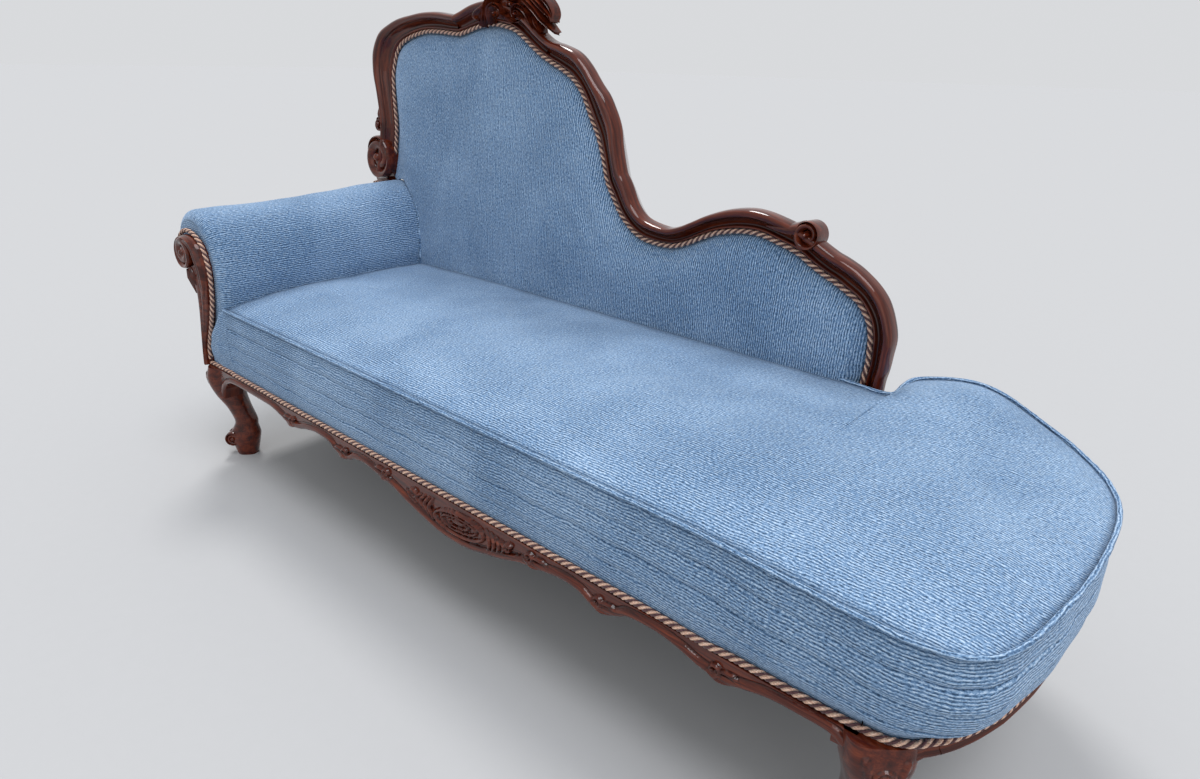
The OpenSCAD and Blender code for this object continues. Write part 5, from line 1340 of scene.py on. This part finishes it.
def outside_arm():
    """Cloth on the arm's outer side, bowed out a little."""
    x = LEFT_LEG[0] - BLOCK / 2 - GAP - 1.8
    low, high = (24, BASE_H + 1), (572, BASE_H + 0.585 * ARM_H)
    y, z = np.meshgrid(np.linspace(low[0], high[0], 60), np.linspace(low[1], high[1], 26))
    across = (y - low[0]) / (high[0] - low[0])
    bow = 1.5 * np.sin(np.pi * across) * np.sin(np.pi * (z - BASE_H) / 218)
    bow = bow + 0.5 * ripple(y, z, 80, 73)
    sheet_of("outside_arm", "outside_arm_cover", placed(np.stack([x - bow * 0.4, y, z], -1)), uv_of(z, y),
             (-1, 0, 0), blue_chenille, "chenille")


def dust_sheet():
    """Dark cloth tacked under the seat between the legs: rows across the seat, cut back at the corners
    and sagging a little."""
    y = np.linspace(COVER_T + RAIL_T + 2, REAR_Y0 - 2, 40)
    low, high = smooth(y, y[0], 95), smooth(y, y[-1], y[-1] - 75)
    left = LEFT_LEG[0] - BLOCK / 2 + RAIL_T + 2.0 + 62 * (1 - np.minimum(low, high))
    right = np.interp(y, end_line[:, 1], end_line[:, 0]) - 58 - 110 * (1 - low) - 175 * (1 - high)
    t = np.linspace(0, 1, 100)[None]
    x = left[:, None] * (1 - t) + right[:, None] * t
    yy = np.broadcast_to(y[:, None], x.shape)
    sag = 5 * np.sin(np.pi * t) * np.sin(np.pi * (yy - y[0]) / (y[-1] - y[0])) + 0.6 * ripple(x, yy, 140, 74)
    sheet_of("dust_sheet", "dust_cover", placed(np.stack([x, yy, BASE_H - 1.4 - np.maximum(sag, 0)], -1)),
             uv_of(x, yy), (0, 0, -1), cambric, "webbing")


# The whole couch
seat_cushion()
seat_corner()
seam_welt()
seat_cord()
moulding("stile_moulding", "left_stile", left_edge, end=end_way(arch_edge, 0))
moulding("crest_moulding", "crest_rail", arch_edge, start=end_way(left_edge, -1), end=end_way(sweep_edge, 0))
moulding("sweep_moulding", "sweep_rail", sweep_edge, start=end_way(arch_edge, -1), end=end_way(end_edge, 0))
moulding("end_moulding", "end_rail", end_edge, start=end_way(sweep_edge, -1))
back_panel()
back_gimp()
ear_scroll()
hump_scroll()
crest()
front_apron()
end_apron()
legs()
arm_pad()
arm_facing()
arm_gimp()
outside_back()
outside_arm()
dust_sheet()

FINISHES = {"mahogany": mahogany_block, "frame_wood": frame_wood, "steel": steel, "webbing": webbing,
            "chenille": blue_chenille, "rope_cord": rope_cord}
KEPT = {"mahogany": ("head_apron", "rear_rail"), "steel": ("block_screws", "back_bolts"),
        "frame_wood": ("cross_rails", "corner_blocks", "back_bottom_rail", "back_slat", "arm_front_stump",
                       "arm_rear_stump", "arm_top_board", "arm_tack_rail"),
        "webbing": ("long_webbing", "cross_webbing", "back_webbing", "arm_webbing")}
for slot, nodes in KEPT.items():
    for node in nodes:
        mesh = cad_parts[node].data
        mesh.materials.clear()
        mesh.materials.append(FINISHES[slot].material)


# Floor, light and camera
def floor():
    """A wide pale floor, a little uneven in tone."""
    half = 60
    corners = [(-half, -half, 0), (half, -half, 0), (half, half, 0), (-half, half, 0)]
    mesh = bpy.data.meshes.new("floor")
    mesh.from_pydata(corners, [], [(0, 1, 2, 3)])
    f = Finish("pale_floor", Roughness=0.9, Specular_IOR_Level=0.0)
    f.drive("Base Color", f.ramp(f.noise(f.coordinates("Object"), 40.0, 3.0),
                                 (0.3, (0.429, 0.435, 0.440)), (0.7, (0.433, 0.439, 0.444))))
    mesh.materials.append(f.material)
    add_object("floor", mesh)


def turned(x, y, z, place):
    """Matrix of an object at a place, whose own axes lie along x, y and z."""
    return Matrix([[*row, p] for row, p in zip(np.stack([x, y, z], 1), place)] + [[0, 0, 0, 1]])


def light(name, place, angle, strength, colour):
    """A wide, soft sun that shines from a place towards the couch."""
    data = bpy.data.lights.new(name, "SUN")
    data.angle, data.energy, data.color = np.radians(angle), strength, colour
    z = unit(np.array(place, float))
    x = unit(np.cross((0.1, 1, 0), z))
    add_object(name, data).matrix_world = turned(x, np.cross(z, x), z, place)


def sky():
    """An even pale world, as bright as the floor looks."""
    world = bpy.data.worlds.new("studio")
    bpy.context.scene.world = world
    world.use_nodes = True
    back = world.node_tree.nodes["Background"]
    back.inputs["Color"].default_value = (0.96, 0.975, 1.0, 1)
    back.inputs["Strength"].default_value = 0.72


def camera():
    """The photograph's view: its place and its turn, pitch and roll, with the focal length for 1200
    pixels of width."""
    place = np.array([1759.24, -705.29, 953.84])
    turn, pitch, roll, focal = *np.radians([40.893, 23.151, 1.333]), 768.098
    look = np.array([-np.sin(turn) * np.cos(pitch), np.cos(turn) * np.cos(pitch), -np.sin(pitch)])
    right = np.array([np.cos(turn), np.sin(turn), 0.0])
    up = np.cross(right, look)
    x, y = right * np.cos(roll) + up * np.sin(roll), -right * np.sin(roll) + up * np.cos(roll)
    data = bpy.data.cameras.new("camera")
    data.sensor_width, data.lens = 36.0, 36.0 * focal / 1200
    obj = add_object("camera", data)
    obj.matrix_world = turned(x, y, -look, placed(place))
    bpy.context.scene.camera = obj


floor()
sky()
light("key", (-1.6, 1.2, 3.4), 16, 1.5, (1.0, 0.98, 0.97))
light("top", (0.9, -0.2, 2.6), 34, 1.6, (0.96, 0.96, 1.0))
light("fill", (1.8, -3.0, 1.6), 60, 0.4, (0.97, 0.98, 1.0))
camera()
bpy.context.scene.view_settings.view_transform = "Standard"
